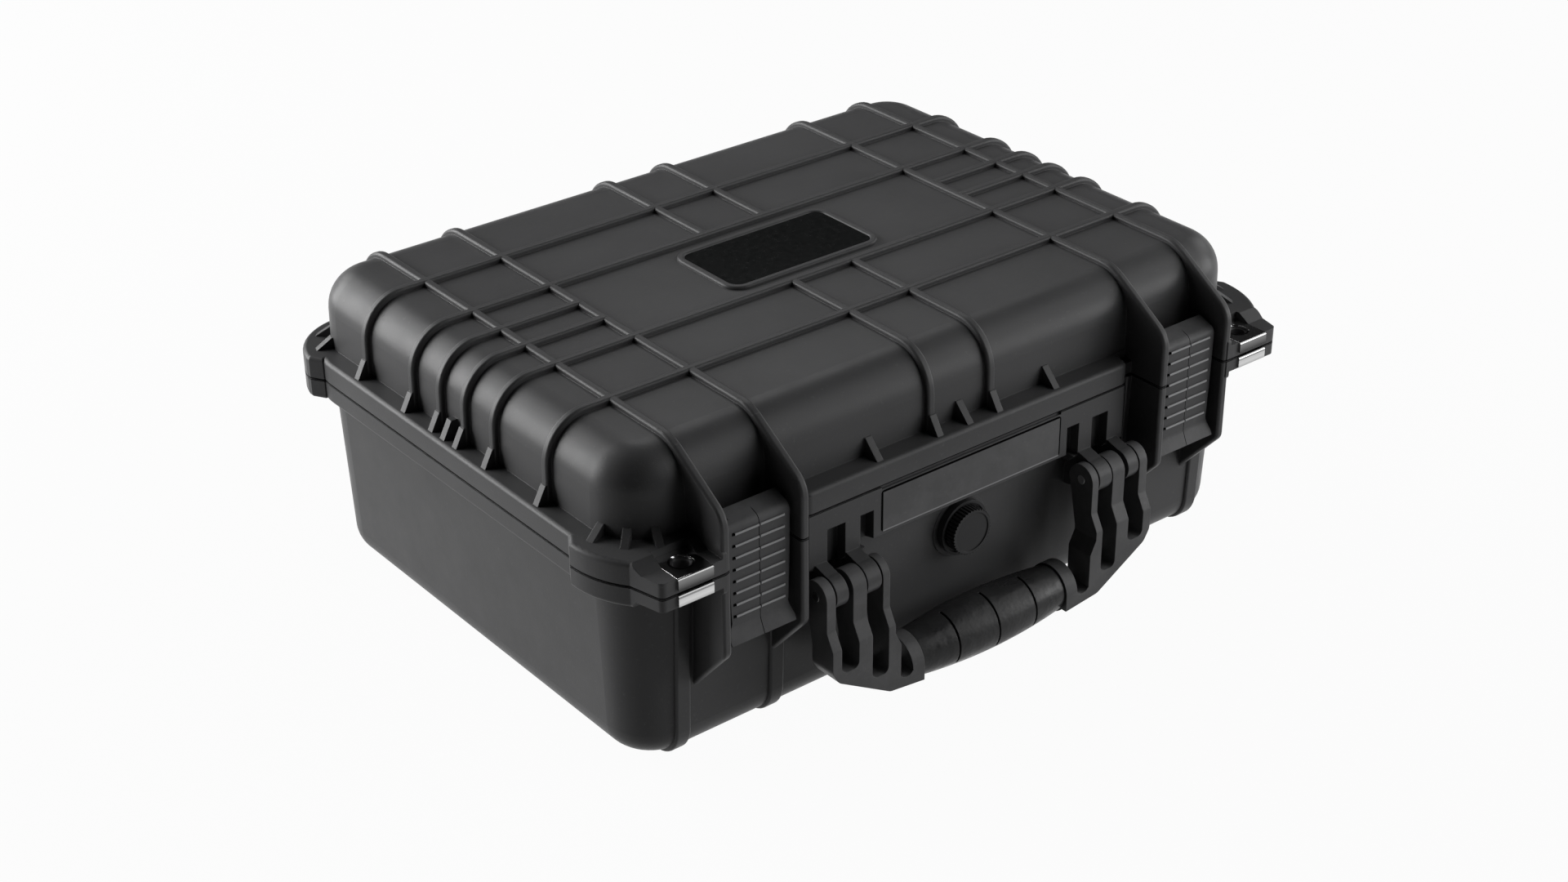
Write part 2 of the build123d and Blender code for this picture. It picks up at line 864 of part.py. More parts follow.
def ring_plate(x, y, corner, low_z, height, border=0.0):
    """A round-cornered plate, or with a border the frame of that width inside its outline."""
    with BuildPart() as plate:
        with BuildSketch(Plane.XY.offset(low_z)):
            RectangleRounded(2 * x, 2 * y, corner)
            if border:
                inner = (2 * (x - border), 2 * (y - border), corner - border)
                RectangleRounded(*inner, mode=Mode.SUBTRACT)
        extrude(amount=height)
        if border:
            fillet(plate.faces().sort_by(Axis.Z)[-1].edges(), label_round)
    return plate.part


# ---------------------------------------------------------------- lid shell
lid_room = rounded_tub(
    Plane.XY.offset(lid_rim_z - parting_gap),
    dome_x - wall,
    dome_y - wall,
    dome_y - wall,
    dome_corner - wall,
    dome_top_z - wall - lid_rim_z + parting_gap,
    draft,
    dome_edge - wall,
)
lid_dome = rounded_tub(
    Plane.XY.offset(lid_rim_z),
    dome_x,
    dome_y,
    dome_y,
    dome_corner,
    dome_top_z - lid_rim_z,
    draft,
    dome_edge,
)
bay_cut = slab_x(
    centre_flange_x,
    rib_x_outer,
    [
        (-guard_y, flange_top_z - bay_drop),
        (-dome_y, flange_top_z - bay_drop),
        (-dome_y, flange_top_z),
        (-guard_y, flange_top_z),
    ],
)
label_frame = ring_plate(
    label_x,
    label_y,
    label_corner,
    dome_top_z - wall / 2,
    label_border_height + wall / 2,
    label_border,
)
pivot_bore_low = rib_x_middle + guard_width / 2 - pivot_engagement
pivot_bore_high = rib_x_outer - guard_width / 2 + pivot_engagement
pivot_bore = rod_x(pivot_bore_low, pivot_bore_high, -pivot_y, pivot_z, pivot_r)

with BuildPart() as lid_shell:
    add(rim_solids(lid_rim_z, flange_up, round_up=True))
    add(both_sides(bay_cut), mode=Mode.SUBTRACT)
    add(ear_slopes(flange_top_z, lid_rim_z + ear_height, ear_slope), mode=Mode.SUBTRACT)
    add([lid_dome, label_frame])
    add(lid_ribs() + lid_gussets() + lid_guards() + hinge_arms(on_base=False))
    add(lid_room, mode=Mode.SUBTRACT)
    add(seal_loop(groove_width, lid_rim_z - parting_gap, groove_depth + parting_gap), mode=Mode.SUBTRACT)
    add(ear_cuts(lid_rim_z + ear_height), mode=Mode.SUBTRACT)
    add(hinge_bores(hinge_pin_clearance), mode=Mode.SUBTRACT)
    add(both_sides(pivot_bore), mode=Mode.SUBTRACT)
lid_shell.part.label = "lid_shell"
export_step(lid_shell.part, "parts/lid_shell.step")

with BuildPart() as lid_seal:
    seal_width = groove_width - 2 * seal_side_gap
    add(seal_loop(seal_width, lid_rim_z + groove_depth - seal_thickness, seal_thickness))
lid_seal.part.label = "lid_seal"
export_step(lid_seal.part, "parts/lid_seal.step")

with BuildPart() as lid_label_plate:
    inner_x = label_x - label_border
    inner_y = label_y - label_border
    add(ring_plate(inner_x, inner_y, label_corner - label_border, dome_top_z, label_thickness))
lid_label_plate.part.label = "lid_label_plate"
export_step(lid_label_plate.part, "parts/lid_label_plate.step")


# ---------------------------------------------------------------- base shell
base_tub = rounded_tub(
    Plane(origin=(0, 0, base_rim_z), x_dir=(1, 0, 0), z_dir=(0, 0, -1)),
    base_x,
    base_front,
    base_rear,
    base_corner,
    base_rim_z - tub_low_z,
    base_draft,
    base_edge,
)
foot_pad = ring_plate(foot_pad_x, foot_pad_y, foot_pad_corner, 0, foot_height + wall / 2)
tongue_height = lid_rim_z + groove_depth - seal_thickness - soft_gap - base_rim_z
valve_seat = disc_y(base_front - wall * 2, valve_seat_y, valve_seat_r, z=valve_z)
valve_pad = disc_y(valve_pad_y, base_front - wall / 2, valve_pad_r, z=valve_z)
valve_bore = disc_y(valve_pad_y - wall, valve_knob_y, valve_bore_r + valve_bore_clearance, z=valve_z)
panel_notch = slab_x(
    -plate_half_x,
    plate_half_x,
    [
        (-flange_front - plate_notch, base_rim_z - plate_notch),
        (-flange_front + plate_notch, base_rim_z - plate_notch),
        (-flange_front + plate_notch, base_rim_z + plate_notch),
        (-flange_front - plate_notch, base_rim_z + plate_notch),
    ],
)

with BuildPart() as base_shell:
    add(base_tub)
    add(rim_solids(flange_low_z, flange_down, round_up=False))
    add(ear_slopes(flange_low_z, base_rim_z - base_ear_height, base_ear_slope), mode=Mode.SUBTRACT)
    add(beads() + [foot_pad, valve_seat] + latch_catches() + handle_mounts())
    add(base_guards() + hinge_arms(on_base=True))
    add(seal_loop(tongue_width, base_rim_z - wall, tongue_height + wall))
    add(base_cavity(), mode=Mode.SUBTRACT)
    add(valve_pad)
    add(mount_pockets() + [name_panel(plate_thickness), panel_notch], mode=Mode.SUBTRACT)
    add(ear_cuts(base_rim_z) + hinge_bores(0) + [valve_bore], mode=Mode.SUBTRACT)
base_shell.part.label = "base_shell"
export_step(base_shell.part, "parts/base_shell.step")

with BuildPart() as name_plate:
    add(name_panel(plate_thickness))
name_plate.part.label = "name_plate"
export_step(name_plate.part, "parts/name_plate.step")

with BuildPart() as hinge_pins:
    pin_half = hinge_knuckle_count * hinge_knuckle_length / 2 - hinge_knuckle_gap / 2
    add(both_sides(rod_x(hinge_x - pin_half, hinge_x + pin_half, hinge_y, hinge_z, hinge_pin_r)))
hinge_pins.part.label = "hinge_pins"
export_step(hinge_pins.part, "parts/hinge_pins.step")

for half, top_z in (("lid", lid_rim_z + ear_height), ("base", base_rim_z)):
    right_plate = lock_plate(top_z)
    for hand, shape in (("right", right_plate), ("left", mirrored(right_plate))):
        with BuildPart() as plate:
            add(shape)
        plate.part.label = f"{hand}_{half}_lock_plate"
        export_step(plate.part, f"parts/{plate.part.label}.step")


# ---------------------------------------------------------------- foam
pocket_floor_z = foam_tray_top_z - laptop_depth
nut_room_x = valve_pad_r + foam_room_gap
nut_room_y = valve_pad_y - valve_nut_thickness - 2 * foam_room_gap

with BuildPart() as nut_room:
    with BuildSketch(Plane.XZ.offset(nut_room_y)):
        with Locations((0, valve_z)):
            Rectangle(2 * nut_room_x, 2 * nut_room_x)
    extrude(amount=base_front - nut_room_y)

with BuildPart() as base_foam_pad:
    add(base_cavity(foam_side_gap))
    split(bisect_by=Plane.XY.offset(pocket_floor_z), keep=Keep.BOTTOM)
    add(nut_room.part, mode=Mode.SUBTRACT)
base_foam_pad.part.label = "base_foam_pad"
export_step(base_foam_pad.part, "parts/base_foam_pad.step")

with BuildPart() as base_foam_tray:
    add(base_cavity(foam_side_gap))
    split(bisect_by=Plane.XY.offset(pocket_floor_z), keep=Keep.TOP)
    split(bisect_by=Plane.XY.offset(foam_tray_top_z), keep=Keep.BOTTOM)
    with BuildSketch(Plane.XY.offset(pocket_floor_z)):
        RectangleRounded(laptop_x, laptop_y, laptop_corner)
    extrude(amount=case_height, mode=Mode.SUBTRACT)
    with BuildSketch(Plane.XY.offset(foam_tray_top_z - thumb_depth)):
        with Locations((-laptop_x / 2, 0), (laptop_x / 2, 0)):
            Circle(thumb_r)
    extrude(amount=case_height, mode=Mode.SUBTRACT)
    add(nut_room.part, mode=Mode.SUBTRACT)
base_foam_tray.part.label = "base_foam_tray"
export_step(base_foam_tray.part, "parts/base_foam_tray.step")

with BuildPart() as lid_foam:
    add(
        rounded_tub(
            Plane.XY.offset(lid_rim_z),
            dome_x - wall - foam_side_gap,
            dome_y - wall - foam_side_gap,
            dome_y - wall - foam_side_gap,
            dome_corner - wall - foam_side_gap,
            dome_top_z - wall - lid_rim_z,
            draft,
            dome_edge - wall,
        )
    )
    split(bisect_by=Plane.XY.offset(lid_foam_low_z), keep=Keep.TOP)
lid_foam.part.label = "lid_foam"
export_step(lid_foam.part, "parts/lid_foam.step")


# ---------------------------------------------------------------- latches
cheek_inner = latch_width / 2 - latch_cheek
latch_stub = pivot_engagement + (rib_x_outer - rib_x_middle - guard_width) / 2 - cheek_inner


def latch_skin_profile():
    """Side view of the lever's outer skin: top, face and the lip that fingers pull."""
    with BuildSketch() as profile:
        with BuildLine():
            Polyline(
                (-latch_back_y, latch_back_z),
                (-latch_face_y, latch_top_z),
                (-latch_face_y, latch_lip_z),
                (-latch_lip_y, latch_bottom_z),
                (-latch_lip_y + latch_skin, latch_bottom_z),
                (-latch_face_y + latch_skin, latch_lip_z),
                (-latch_face_y + latch_skin, latch_top_z - latch_skin),
                (-latch_back_y, latch_back_z - latch_skin),
                close=True,
            )
        make_face()
        outer = profile.vertices().sort_by_distance((-latch_face_y, latch_top_z))[0]
        fillet(outer, latch_top_round)
        for sign in (0, 1):
            corner = (-latch_face_y + sign * latch_skin, latch_lip_z)
            fillet(profile.vertices().sort_by_distance(corner)[0], latch_bend_r)
    return profile.sketch


def latch_front_outline():
    """Front view of the lever: sides drawn in above the lip, which is wider."""
    half = latch_width / 2
    lip = latch_lip_width / 2
    waist = half - latch_waist
    with BuildSketch() as outline:
        with BuildLine():
            Polyline((-lip, latch_bottom_z), (lip, latch_bottom_z), (lip, latch_bottom_z + latch_skin))
            Line((lip, latch_bottom_z + latch_skin), (waist, latch_lip_z + latch_skin))
            ThreePointArc(
                (waist, latch_lip_z + latch_skin),
                (waist + latch_bow, (latch_lip_z + pivot_z) / 2),
                (half, pivot_z),
            )
            Polyline((half, pivot_z), (half, latch_back_z), (-half, latch_back_z), (-half, pivot_z))
            ThreePointArc(
                (-half, pivot_z),
                (-waist - latch_bow, (latch_lip_z + pivot_z) / 2),
                (-waist, latch_lip_z + latch_skin),
            )
            Line((-waist, latch_lip_z + latch_skin), (-lip, latch_bottom_z + latch_skin))
            Line((-lip, latch_bottom_z + latch_skin), (-lip, latch_bottom_z))
        make_face()
    return outline.sketch


def latch_cheek_plate(low_x):
    """One side plate of the lever, with its pivot boss."""
    points = [
        (-latch_back_y, latch_back_z - latch_skin / 2),
        (-latch_face_y + latch_skin / 2, latch_top_z - latch_skin / 2),
        (-latch_face_y + latch_skin / 2, latch_lip_z + latch_skin),
        (-latch_face_y + latch_skin * 2, latch_lip_z + latch_skin * 2),
        (-pivot_y + pivot_boss_r / 2, pivot_z - pivot_boss_r),
        (-latch_back_y, pivot_z),
    ]
    with BuildPart() as cheek:
        add(slab_x(low_x, low_x + latch_cheek, points))
        add(rod_x(low_x, low_x + latch_cheek, -pivot_y, pivot_z, pivot_boss_r))
    return cheek.part


def latch_lever_solid():
    """The lever, centred on X = 0: ribbed skin, two cheeks, and the holes for both pins."""
    half = latch_width / 2
    with BuildPart() as lever:
        with BuildSketch(Plane.YZ):
            add(latch_skin_profile())
        extrude(amount=latch_lip_width / 2, both=True)
        with BuildSketch(Plane.XZ):
            add(latch_front_outline())
        extrude(amount=latch_lip_y + wall, mode=Mode.INTERSECT)
        with BuildSketch(Plane.XZ.offset(latch_face_y - latch_skin / 2)):
            for index in range(latch_line_count):
                with Locations((0, latch_line_top_z - index * latch_line_pitch)):
                    Rectangle(latch_line_width, latch_line_height)
        extrude(amount=latch_skin / 2 + latch_line_proud)
        add([latch_cheek_plate(-half), latch_cheek_plate(half - latch_cheek)])
        add(rod_x(-half, half, -pivot_y, pivot_z, pivot_r + pivot_clearance), mode=Mode.SUBTRACT)
        add(rod_x(-half, half, -claw_pin_y, claw_pin_z, claw_pin_r), mode=Mode.SUBTRACT)
    return lever.part


def latch_claw_solid():
    """The claw, centred on X = 0: it hangs on its pin, with its hook at the catch's underside."""
    front_y = claw_back_y + claw_thickness
    hook_top_z = catch_low_z - catch_gap
    hook_low_z = hook_top_z - claw_hook_height
    points = [
        (-claw_back_y, claw_pin_z),
        (-claw_back_y, hook_top_z),
        (-catch_front_y - claw_hook_gap, hook_top_z),
        (-catch_front_y - claw_hook_gap, hook_low_z + claw_hook_height / 2),
        (-claw_back_y, hook_low_z),
        (-front_y, hook_low_z),
        (-front_y, claw_pin_z),
    ]
    half = claw_width / 2
    bore = claw_pin_r + pivot_clearance
    with BuildPart() as claw:
        add(slab_x(-half, half, points))
        add(rod_x(-half, half, -claw_pin_y, claw_pin_z, claw_eye_r))
        add(rod_x(-half, half, -claw_pin_y, claw_pin_z, bore), mode=Mode.SUBTRACT)
        with BuildSketch(Plane.XZ.offset(claw_back_y - wall)):
            with Locations((0, (claw_pin_z + catch_low_z) / 2)):
                RectangleRounded(claw_window_width, claw_window_height, claw_window_corner)
        extrude(amount=claw_back_y, mode=Mode.SUBTRACT)
    return claw.part


def latch_stub_pins():
    """The two short pins, fixed in the lid's guards, that one lever turns on."""
    far = cheek_inner + latch_stub
    return both_sides(rod_x(cheek_inner, far, -pivot_y, pivot_z, pivot_r))


for hand, side in (("left", -1), ("right", 1)):
    place = Location((side * latch_x, 0, 0))

    with BuildPart() as latch_lever:
        add(latch_lever_solid().moved(place))
    latch_lever.part.label = f"{hand}_latch_lever"
    export_step(latch_lever.part, f"parts/{latch_lever.part.label}.step")

    with BuildPart() as latch_claw:
        add(latch_claw_solid().moved(place))
    latch_claw.part.label = f"{hand}_latch_claw"
    export_step(latch_claw.part, f"parts/{latch_claw.part.label}.step")

    with BuildPart() as claw_pin:
        add(rod_x(-latch_width / 2, latch_width / 2, -claw_pin_y, claw_pin_z, claw_pin_r).moved(place))
    claw_pin.part.label = f"{hand}_claw_pin"
    export_step(claw_pin.part, f"parts/{claw_pin.part.label}.step")

    with BuildPart() as pivot_pins:
        add([pin.moved(place) for pin in latch_stub_pins()])
    pivot_pins.part.label = f"{hand}_latch_pivot_pins"
    export_step(pivot_pins.part, f"parts/{pivot_pins.part.label}.step")


# ---------------------------------------------------------------- handle
slot_a_low = handle_web_x + handle_web_width
slot_b_low = handle_ear_x + handle_ear_width
handle_outer_x = handle_side_x + handle_side_width
arm_back_y = handle_front_y - handle_arm_depth


def arm_front_outline():
    """Front view of the right arm, from the barrel down to where it turns in to the grip."""
    top_z = handle_axis_z + barrel_r
    with BuildSketch() as outline:
        with BuildLine():
            Polyline(
                (handle_outer_x, top_z),
                (handle_outer_x, handle_outer_low_z),
                (arm_turn_x, arm_turn_z),
                (arm_toe_x, arm_toe_z),
                (handle_inner_x, handle_foot_z),
                (handle_inner_x, grip_axis_z),
                (slot_c_out_x, grip_axis_z),
                (slot_c_out_x, arm_neck_low_z),
                (handle_ear_x, arm_neck_top_z),
                (handle_ear_x, top_z),
                close=True,
            )
        make_face()
        bends = ((handle_outer_x, handle_outer_low_z), (arm_turn_x, arm_turn_z), (arm_toe_x, arm_toe_z))
        for bend in bends:
            fillet(outline.vertices().sort_by_distance(bend)[0], arm_bend_r)
    return outline.sketch


def arm_side_outline():
    """Side view of the arm: round barrel, then a step forward to the grip's level."""
    with BuildSketch() as outline:
        with BuildLine():
            Polyline(
                (-handle_axis_y - barrel_r, handle_axis_z),
                (-handle_axis_y - barrel_r, handle_kink_top_z),
                (-handle_front_y, handle_kink_low_z),
                (-handle_front_y, 0),
                (-arm_back_y, 0),
                (-arm_back_y, handle_kink_low_z - handle_back_step),
                (-handle_arm_back_y, handle_arm_back_z),
                (-handle_axis_y + barrel_r, handle_axis_z),
                close=True,
            )
        make_face()
        for y, z in ((barrel_r + handle_axis_y, handle_kink_top_z), (handle_front_y, handle_kink_low_z)):
            fillet(outline.vertices().sort_by_distance((-y, z))[0], arm_kink_r)
        with Locations((-handle_axis_y, handle_axis_z)):
            Circle(barrel_r)
    return outline.sketch


def handle_arm():
    """The right arm, with its slots, its window and the bore for its hinge pin."""
    slots = (
        (slot_a_low, handle_side_x, slot_a_low_z),
        (slot_b_low, handle_web_x, slot_b_low_z),
        (slot_c_in_x, slot_c_out_x, slot_c_low_z),
    )
    with BuildPart() as arm:
        with BuildSketch(Plane.YZ.offset(handle_inner_x)):
            add(arm_side_outline())
        extrude(amount=handle_outer_x - handle_inner_x)
        with BuildSketch(Plane.XZ):
            add(arm_front_outline())
        extrude(amount=handle_front_y + wall, mode=Mode.INTERSECT)
        for low_x, high_x, low_z in slots:
            width = high_x - low_x
            height = case_height / 2
            with BuildSketch(Plane.XZ):
                with Locations(((low_x + high_x) / 2, low_z + height / 2)):
                    RectangleRounded(width, height, slot_round)
            extrude(amount=handle_front_y + wall, mode=Mode.SUBTRACT)
        bore = handle_pin_r + handle_pin_clearance
        add(rod_x(handle_inner_x, slot_c_in_x, -handle_axis_y, grip_axis_z, end_disc_r))
        far_x = handle_outer_x + wall
        add(rod_x(handle_inner_x, far_x, -handle_axis_y, handle_axis_z, bore), mode=Mode.SUBTRACT)
    return arm.part


def grip_groove(x):
    """A short ring of material over the sleeve's front and top, to be cut out of it."""
    floor_r = grip_r + grip_bulge * (1 - (x / handle_inner_x) ** 2) - grip_groove_depth
    low = math.radians(grip_groove_low)
    high = math.radians(grip_groove_high)
    reach = 2 * grip_r
    wedge = [
        (-handle_axis_y, grip_axis_z),
        (-handle_axis_y - reach * math.cos(low), grip_axis_z + reach * math.sin(low)),
        (-handle_axis_y - reach, grip_axis_z + reach),
        (-handle_axis_y - reach * math.cos(high), grip_axis_z + reach * math.sin(high)),
    ]
    start = x - grip_groove_width / 2
    with BuildPart() as groove:
        add(slab_x(start, start + grip_groove_width, wedge))
        core = rod_x(start, start + grip_groove_width, -handle_axis_y, grip_axis_z, floor_r)
        add(core, mode=Mode.SUBTRACT)
    return groove.part


with BuildPart() as handle_frame:
    add(both_sides(handle_arm()))
    core_x = handle_inner_x + grip_core_r / 2
    add(rod_x(-core_x, core_x, -handle_axis_y, grip_axis_z, grip_core_r))
handle_frame.part.label = "handle_frame"
export_step(handle_frame.part, "parts/handle_frame.step")

with BuildPart() as handle_grip:
    end_x = handle_inner_x - grip_end_gap
    end_z = grip_axis_z + grip_r
    core_z = grip_axis_z + grip_core_r
    with BuildSketch(Plane.XZ.offset(handle_axis_y)):
        with BuildLine():
            Polyline((-end_x, end_z), (-end_x, core_z), (end_x, core_z), (end_x, end_z))
            ThreePointArc((end_x, end_z), (0, end_z + grip_bulge), (-end_x, end_z))
        make_face()
    revolve(axis=Axis((0, -handle_axis_y, grip_axis_z), (1, 0, 0)))
    for step in (-1, 0, 1):
        add(grip_groove(step * grip_groove_pitch), mode=Mode.SUBTRACT)
handle_grip.part.label = "handle_grip"
export_step(handle_grip.part, "parts/handle_grip.step")

with BuildPart() as handle_pins:
    pin = rod_x(handle_ear_x, handle_outer_x, -handle_axis_y, handle_axis_z, handle_pin_r)
    add(both_sides(pin))
handle_pins.part.label = "handle_pins"
export_step(handle_pins.part, "parts/handle_pins.step")


# ---------------------------------------------------------------- purge valve
ring_groove_width = 2 * (valve_ring_wire_r + seal_side_gap)
nut_low_y = valve_pad_y - valve_nut_thickness

with BuildPart() as valve_body:
    add(disc_y(valve_seat_y, valve_collar_y, valve_collar_r, z=valve_z))
    add(disc_y(valve_recess_y, valve_collar_y, valve_recess_r, z=valve_z), mode=Mode.SUBTRACT)
    add(disc_y(nut_low_y - valve_nut_proud, valve_seat_y, valve_bore_r, z=valve_z))
    stem_bore = valve_stem_r + valve_stem_clearance
    add(disc_y(nut_low_y - valve_nut_proud, valve_recess_y, stem_bore, z=valve_z), mode=Mode.SUBTRACT)
    with BuildSketch(Plane.XZ.offset(valve_seat_y)):
        with Locations((0, valve_z)):
            Circle(valve_ring_r + ring_groove_width / 2)
            Circle(valve_ring_r - ring_groove_width / 2, mode=Mode.SUBTRACT)
    extrude(amount=2 * valve_ring_wire_r, mode=Mode.SUBTRACT)
valve_body.part.label = "valve_body"
export_step(valve_body.part, "parts/valve_body.step")

with BuildPart() as valve_seal_ring:
    with BuildSketch(Plane.YZ):
        with Locations((-valve_seat_y - valve_ring_wire_r, valve_z + valve_ring_r)):
            Circle(valve_ring_wire_r)
    revolve(axis=Axis((0, 0, valve_z), (0, 1, 0)))
valve_seal_ring.part.label = "valve_seal_ring"
export_step(valve_seal_ring.part, "parts/valve_seal_ring.step")

with BuildPart() as valve_nut:
    with BuildSketch(Plane.XZ.offset(nut_low_y)):
        with Locations((0, valve_z)):
            RegularPolygon(valve_nut_r, valve_nut_sides)
            Circle(valve_bore_r + valve_bore_clearance, mode=Mode.SUBTRACT)
    extrude(amount=valve_nut_thickness)
valve_nut.part.label = "valve_nut"
export_step(valve_nut.part, "parts/valve_nut.step")

with BuildPart() as valve_knob:
    with BuildSketch(Plane.XZ.offset(valve_knob_back_y)):
        with Locations((0, valve_z)):
            Circle(valve_knob_r)
            with PolarLocations(valve_knob_r, valve_knurls):
                Circle(valve_knurl_r, mode=Mode.SUBTRACT)
    extrude(amount=valve_knob_y - valve_knob_back_y)
    with BuildSketch(Plane.XZ.offset(valve_knob_y - valve_dish)):
        with Locations((0, valve_z)):
            Circle(valve_knob_r - valve_rim)
    extrude(amount=valve_dish, mode=Mode.SUBTRACT)
    with BuildSketch(Plane.XZ.offset(nut_low_y)):
        with Locations((0, valve_z)):
            Circle(valve_stem_r)
    extrude(amount=valve_knob_back_y - nut_low_y)
valve_knob.part.label = "valve_knob"
export_step(valve_knob.part, "parts/valve_knob.step")
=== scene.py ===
import math

import bmesh
import bpy
import numpy as np
from mathutils import Matrix, Vector, noise


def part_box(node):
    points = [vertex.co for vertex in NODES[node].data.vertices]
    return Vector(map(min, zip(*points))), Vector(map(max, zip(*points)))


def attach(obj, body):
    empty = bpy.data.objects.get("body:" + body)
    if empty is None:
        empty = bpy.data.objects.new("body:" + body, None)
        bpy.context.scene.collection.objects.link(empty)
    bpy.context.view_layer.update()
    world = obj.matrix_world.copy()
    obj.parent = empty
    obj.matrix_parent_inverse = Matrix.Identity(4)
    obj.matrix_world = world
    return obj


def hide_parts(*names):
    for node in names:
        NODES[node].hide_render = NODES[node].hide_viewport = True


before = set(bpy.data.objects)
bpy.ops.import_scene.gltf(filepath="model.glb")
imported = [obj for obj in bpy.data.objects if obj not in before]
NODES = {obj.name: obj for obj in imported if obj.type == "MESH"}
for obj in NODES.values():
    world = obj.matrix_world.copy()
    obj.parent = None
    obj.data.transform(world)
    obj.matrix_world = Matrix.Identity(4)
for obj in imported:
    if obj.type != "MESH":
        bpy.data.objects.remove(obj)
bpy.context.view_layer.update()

# Lengths and places are in metres, angles in degrees.
MM = 0.001

# Places on the CAD pieces that the materials' details keep to.
PARTING_Z = 0.1162
LATCH_X = 0.1427
BAR_FACE_Y = -0.1654
BAR_TOP_Z = 0.1310
BAR_LOW_Z = 0.0863
BAR_STEP = 0.00638
BAR_END_X = 0.0151
PANEL_X = 0.0600
PANEL_LOW_Z = 0.0905
PANEL_TOP_Z = 0.1136
LOCK_X = 0.1844
LOCK_Y = -0.1605
LOCK_RIM_R = 0.0052
LIP_FACE_Y = -0.1722
LIP_LOW_Z = 0.1100
LIP_TOP_Z = 0.1246

# Painted shade, painted highlights and the rim's bump: half widths, the lengths over which they
# fade, and pairs of distances from a place above, between which they fade.
SEAM_HALF, SEAM_FADE = 0.00062, 0.00025
SEAM_LEVEL_FADE = (0.5, 0.8)
CREST_OUT, CREST_IN = 0.00015, 0.0001
CREST_OVER, CREST_FADE = 0.001, 0.0003
CREST_GAP_HALF, CREST_GAP_FADE = 0.00035, 0.00015
BAR_DOT_HALF_X, BAR_DOT_HALF_Z, BAR_DOT_FADE = 0.0006, 0.0007, 0.0002
BAR_DOT_END_FADE = (0.0022, 0.0018)
FLASH_HALF, FLASH_FADE = 0.00012, 0.00018
FLASH_FRONT_Y, FLASH_BACK_Y = -0.160, -0.158
GROOVE_SIDE_FADE = (0.0010, 0.0007)
GROOVE_TOP_FADE = (0.0011, 0.0008)
SILL_FADE, SILL_STRENGTH = (0.0009, 0.0006), 0.55
LIP_DEPTH_FADE = (0.0012, 0.0006)
RIM_INSIDE, RIM_OUTSIDE, RIM_HEIGHT = 0.0002, 0.0011, 0.0030
# How much paler the painted highlights are, and how much darker the painted shade.
PAINTED_HIGHLIGHT_FACTOR = 4.8
PAINTED_SHADE_FACTOR = 0.04

# Painted reflections up the padlock plates' lips, as greys: (share of the lip's height, grey).
# They are painted, so they stay the same under any light.
LIP_STEPS = (
    (0.00, 0.42),
    (0.12, 0.62),
    (0.26, 0.55),
    (0.31, 0.20),
    (0.34, 0.25),
    (0.40, 0.28),
    (0.60, 0.04),
    (0.68, 0.09),
    (0.82, 0.16),
    (0.93, 0.20),
    (0.96, 0.28),
    (1.00, 0.30),
)

# Foam: the least voxel of the floor pad's remesh, the hollows of the skin, and the egg-crate
# waves under the lid's foam.
PAD_VOXEL = 0.004
HOLLOW_DEPTH, HOLLOW_SCALE = 0.0006, 140.0
CRATE_PITCH, CRATE_DEPTH = 0.034, 0.011
CRATE_INSET, CRATE_SIDE_FADE = 0.012, 0.008
CRATE_REACH, CRATE_REACH_FADE = 0.012, 0.006

# Floor and world. Only the rays that show the background see the floor as white.
FLOOR_Z = -0.0004
FLOOR_HALF = 40.0
FLOOR_TONE = 0.28
FLOOR_WHITE = 0.96
WORLD_STRENGTH = 0.01
SHOWN_RAYS = ("Is Camera Ray", "Is Glossy Ray", "Is Transmission Ray")

# Square lights round the case: name, turn from the front towards the right, rise, watts, size.
# They were fitted to the photograph's tones from its own side, then set one by one.
LIGHT_DISTANCE = 1.7
AIM_Z = 0.09
LIGHTS = (
    ("rear_left_low", -140.0, 8.0, 49.0, 1.2),
    ("rear_left_mid", -140.0, 25.0, 7.5, 0.9),
    ("rear_mid", -165.0, 25.0, 10.1, 0.7),
    ("rear_left_high", -150.0, 48.0, 3.0, 0.7),
    ("rear_right_high", 140.0, 48.0, 4.3, 0.7),
    ("front_right_low", 55.0, 5.0, 12.8, 0.9),
    ("front_right_mid", 46.0, 26.0, 18.8, 1.6),
    ("right_mid", 90.0, 25.0, 4.5, 0.7),
)

# The photograph's view of the middle of the case's top: its angles, the shift of its centre, its
# distance and its lens.
VIEW_ANGLES = (-38.351, 29.129, -0.514)
VIEW_SHIFT_X, VIEW_SHIFT_Y = -3.223 * MM, 103.809 * MM
VIEW_DISTANCE = 1341.988 * MM
VIEW_END = 60.0
CASE_TOP_Z = 172.0 * MM
LENS_IN_MM, SENSOR_IN_MM = 58.4156, 36.0


# ---------------------------------------------------------------- node helpers
def add_node(tree, kind, **values):
    """A shader node with its properties set."""
    node = tree.nodes.new(kind)
    for key, value in values.items():
        setattr(node, key, value)
    return node


def ramp(tree, source, low, high, low_value, high_value):
    """A value that goes from low_value to high_value as source goes from low to high."""
    node = add_node(tree, "ShaderNodeMapRange")
    node.inputs["From Min"].default_value = low
    node.inputs["From Max"].default_value = high
    node.inputs["To Min"].default_value = low_value
    node.inputs["To Max"].default_value = high_value
    tree.links.new(source, node.inputs["Value"])
    return node.outputs["Result"]


def mix_color(tree, factor, first, second):
    """The first colour where factor is 0 and the second where it is 1."""
    node = add_node(tree, "ShaderNodeMix", data_type="RGBA")
    for socket, value in ((node.inputs[6], first), (node.inputs[7], second)):
        if isinstance(value, tuple):
            socket.default_value = value
        else:
            tree.links.new(value, socket)
    tree.links.new(factor, node.inputs[0])
    return node.outputs[2]


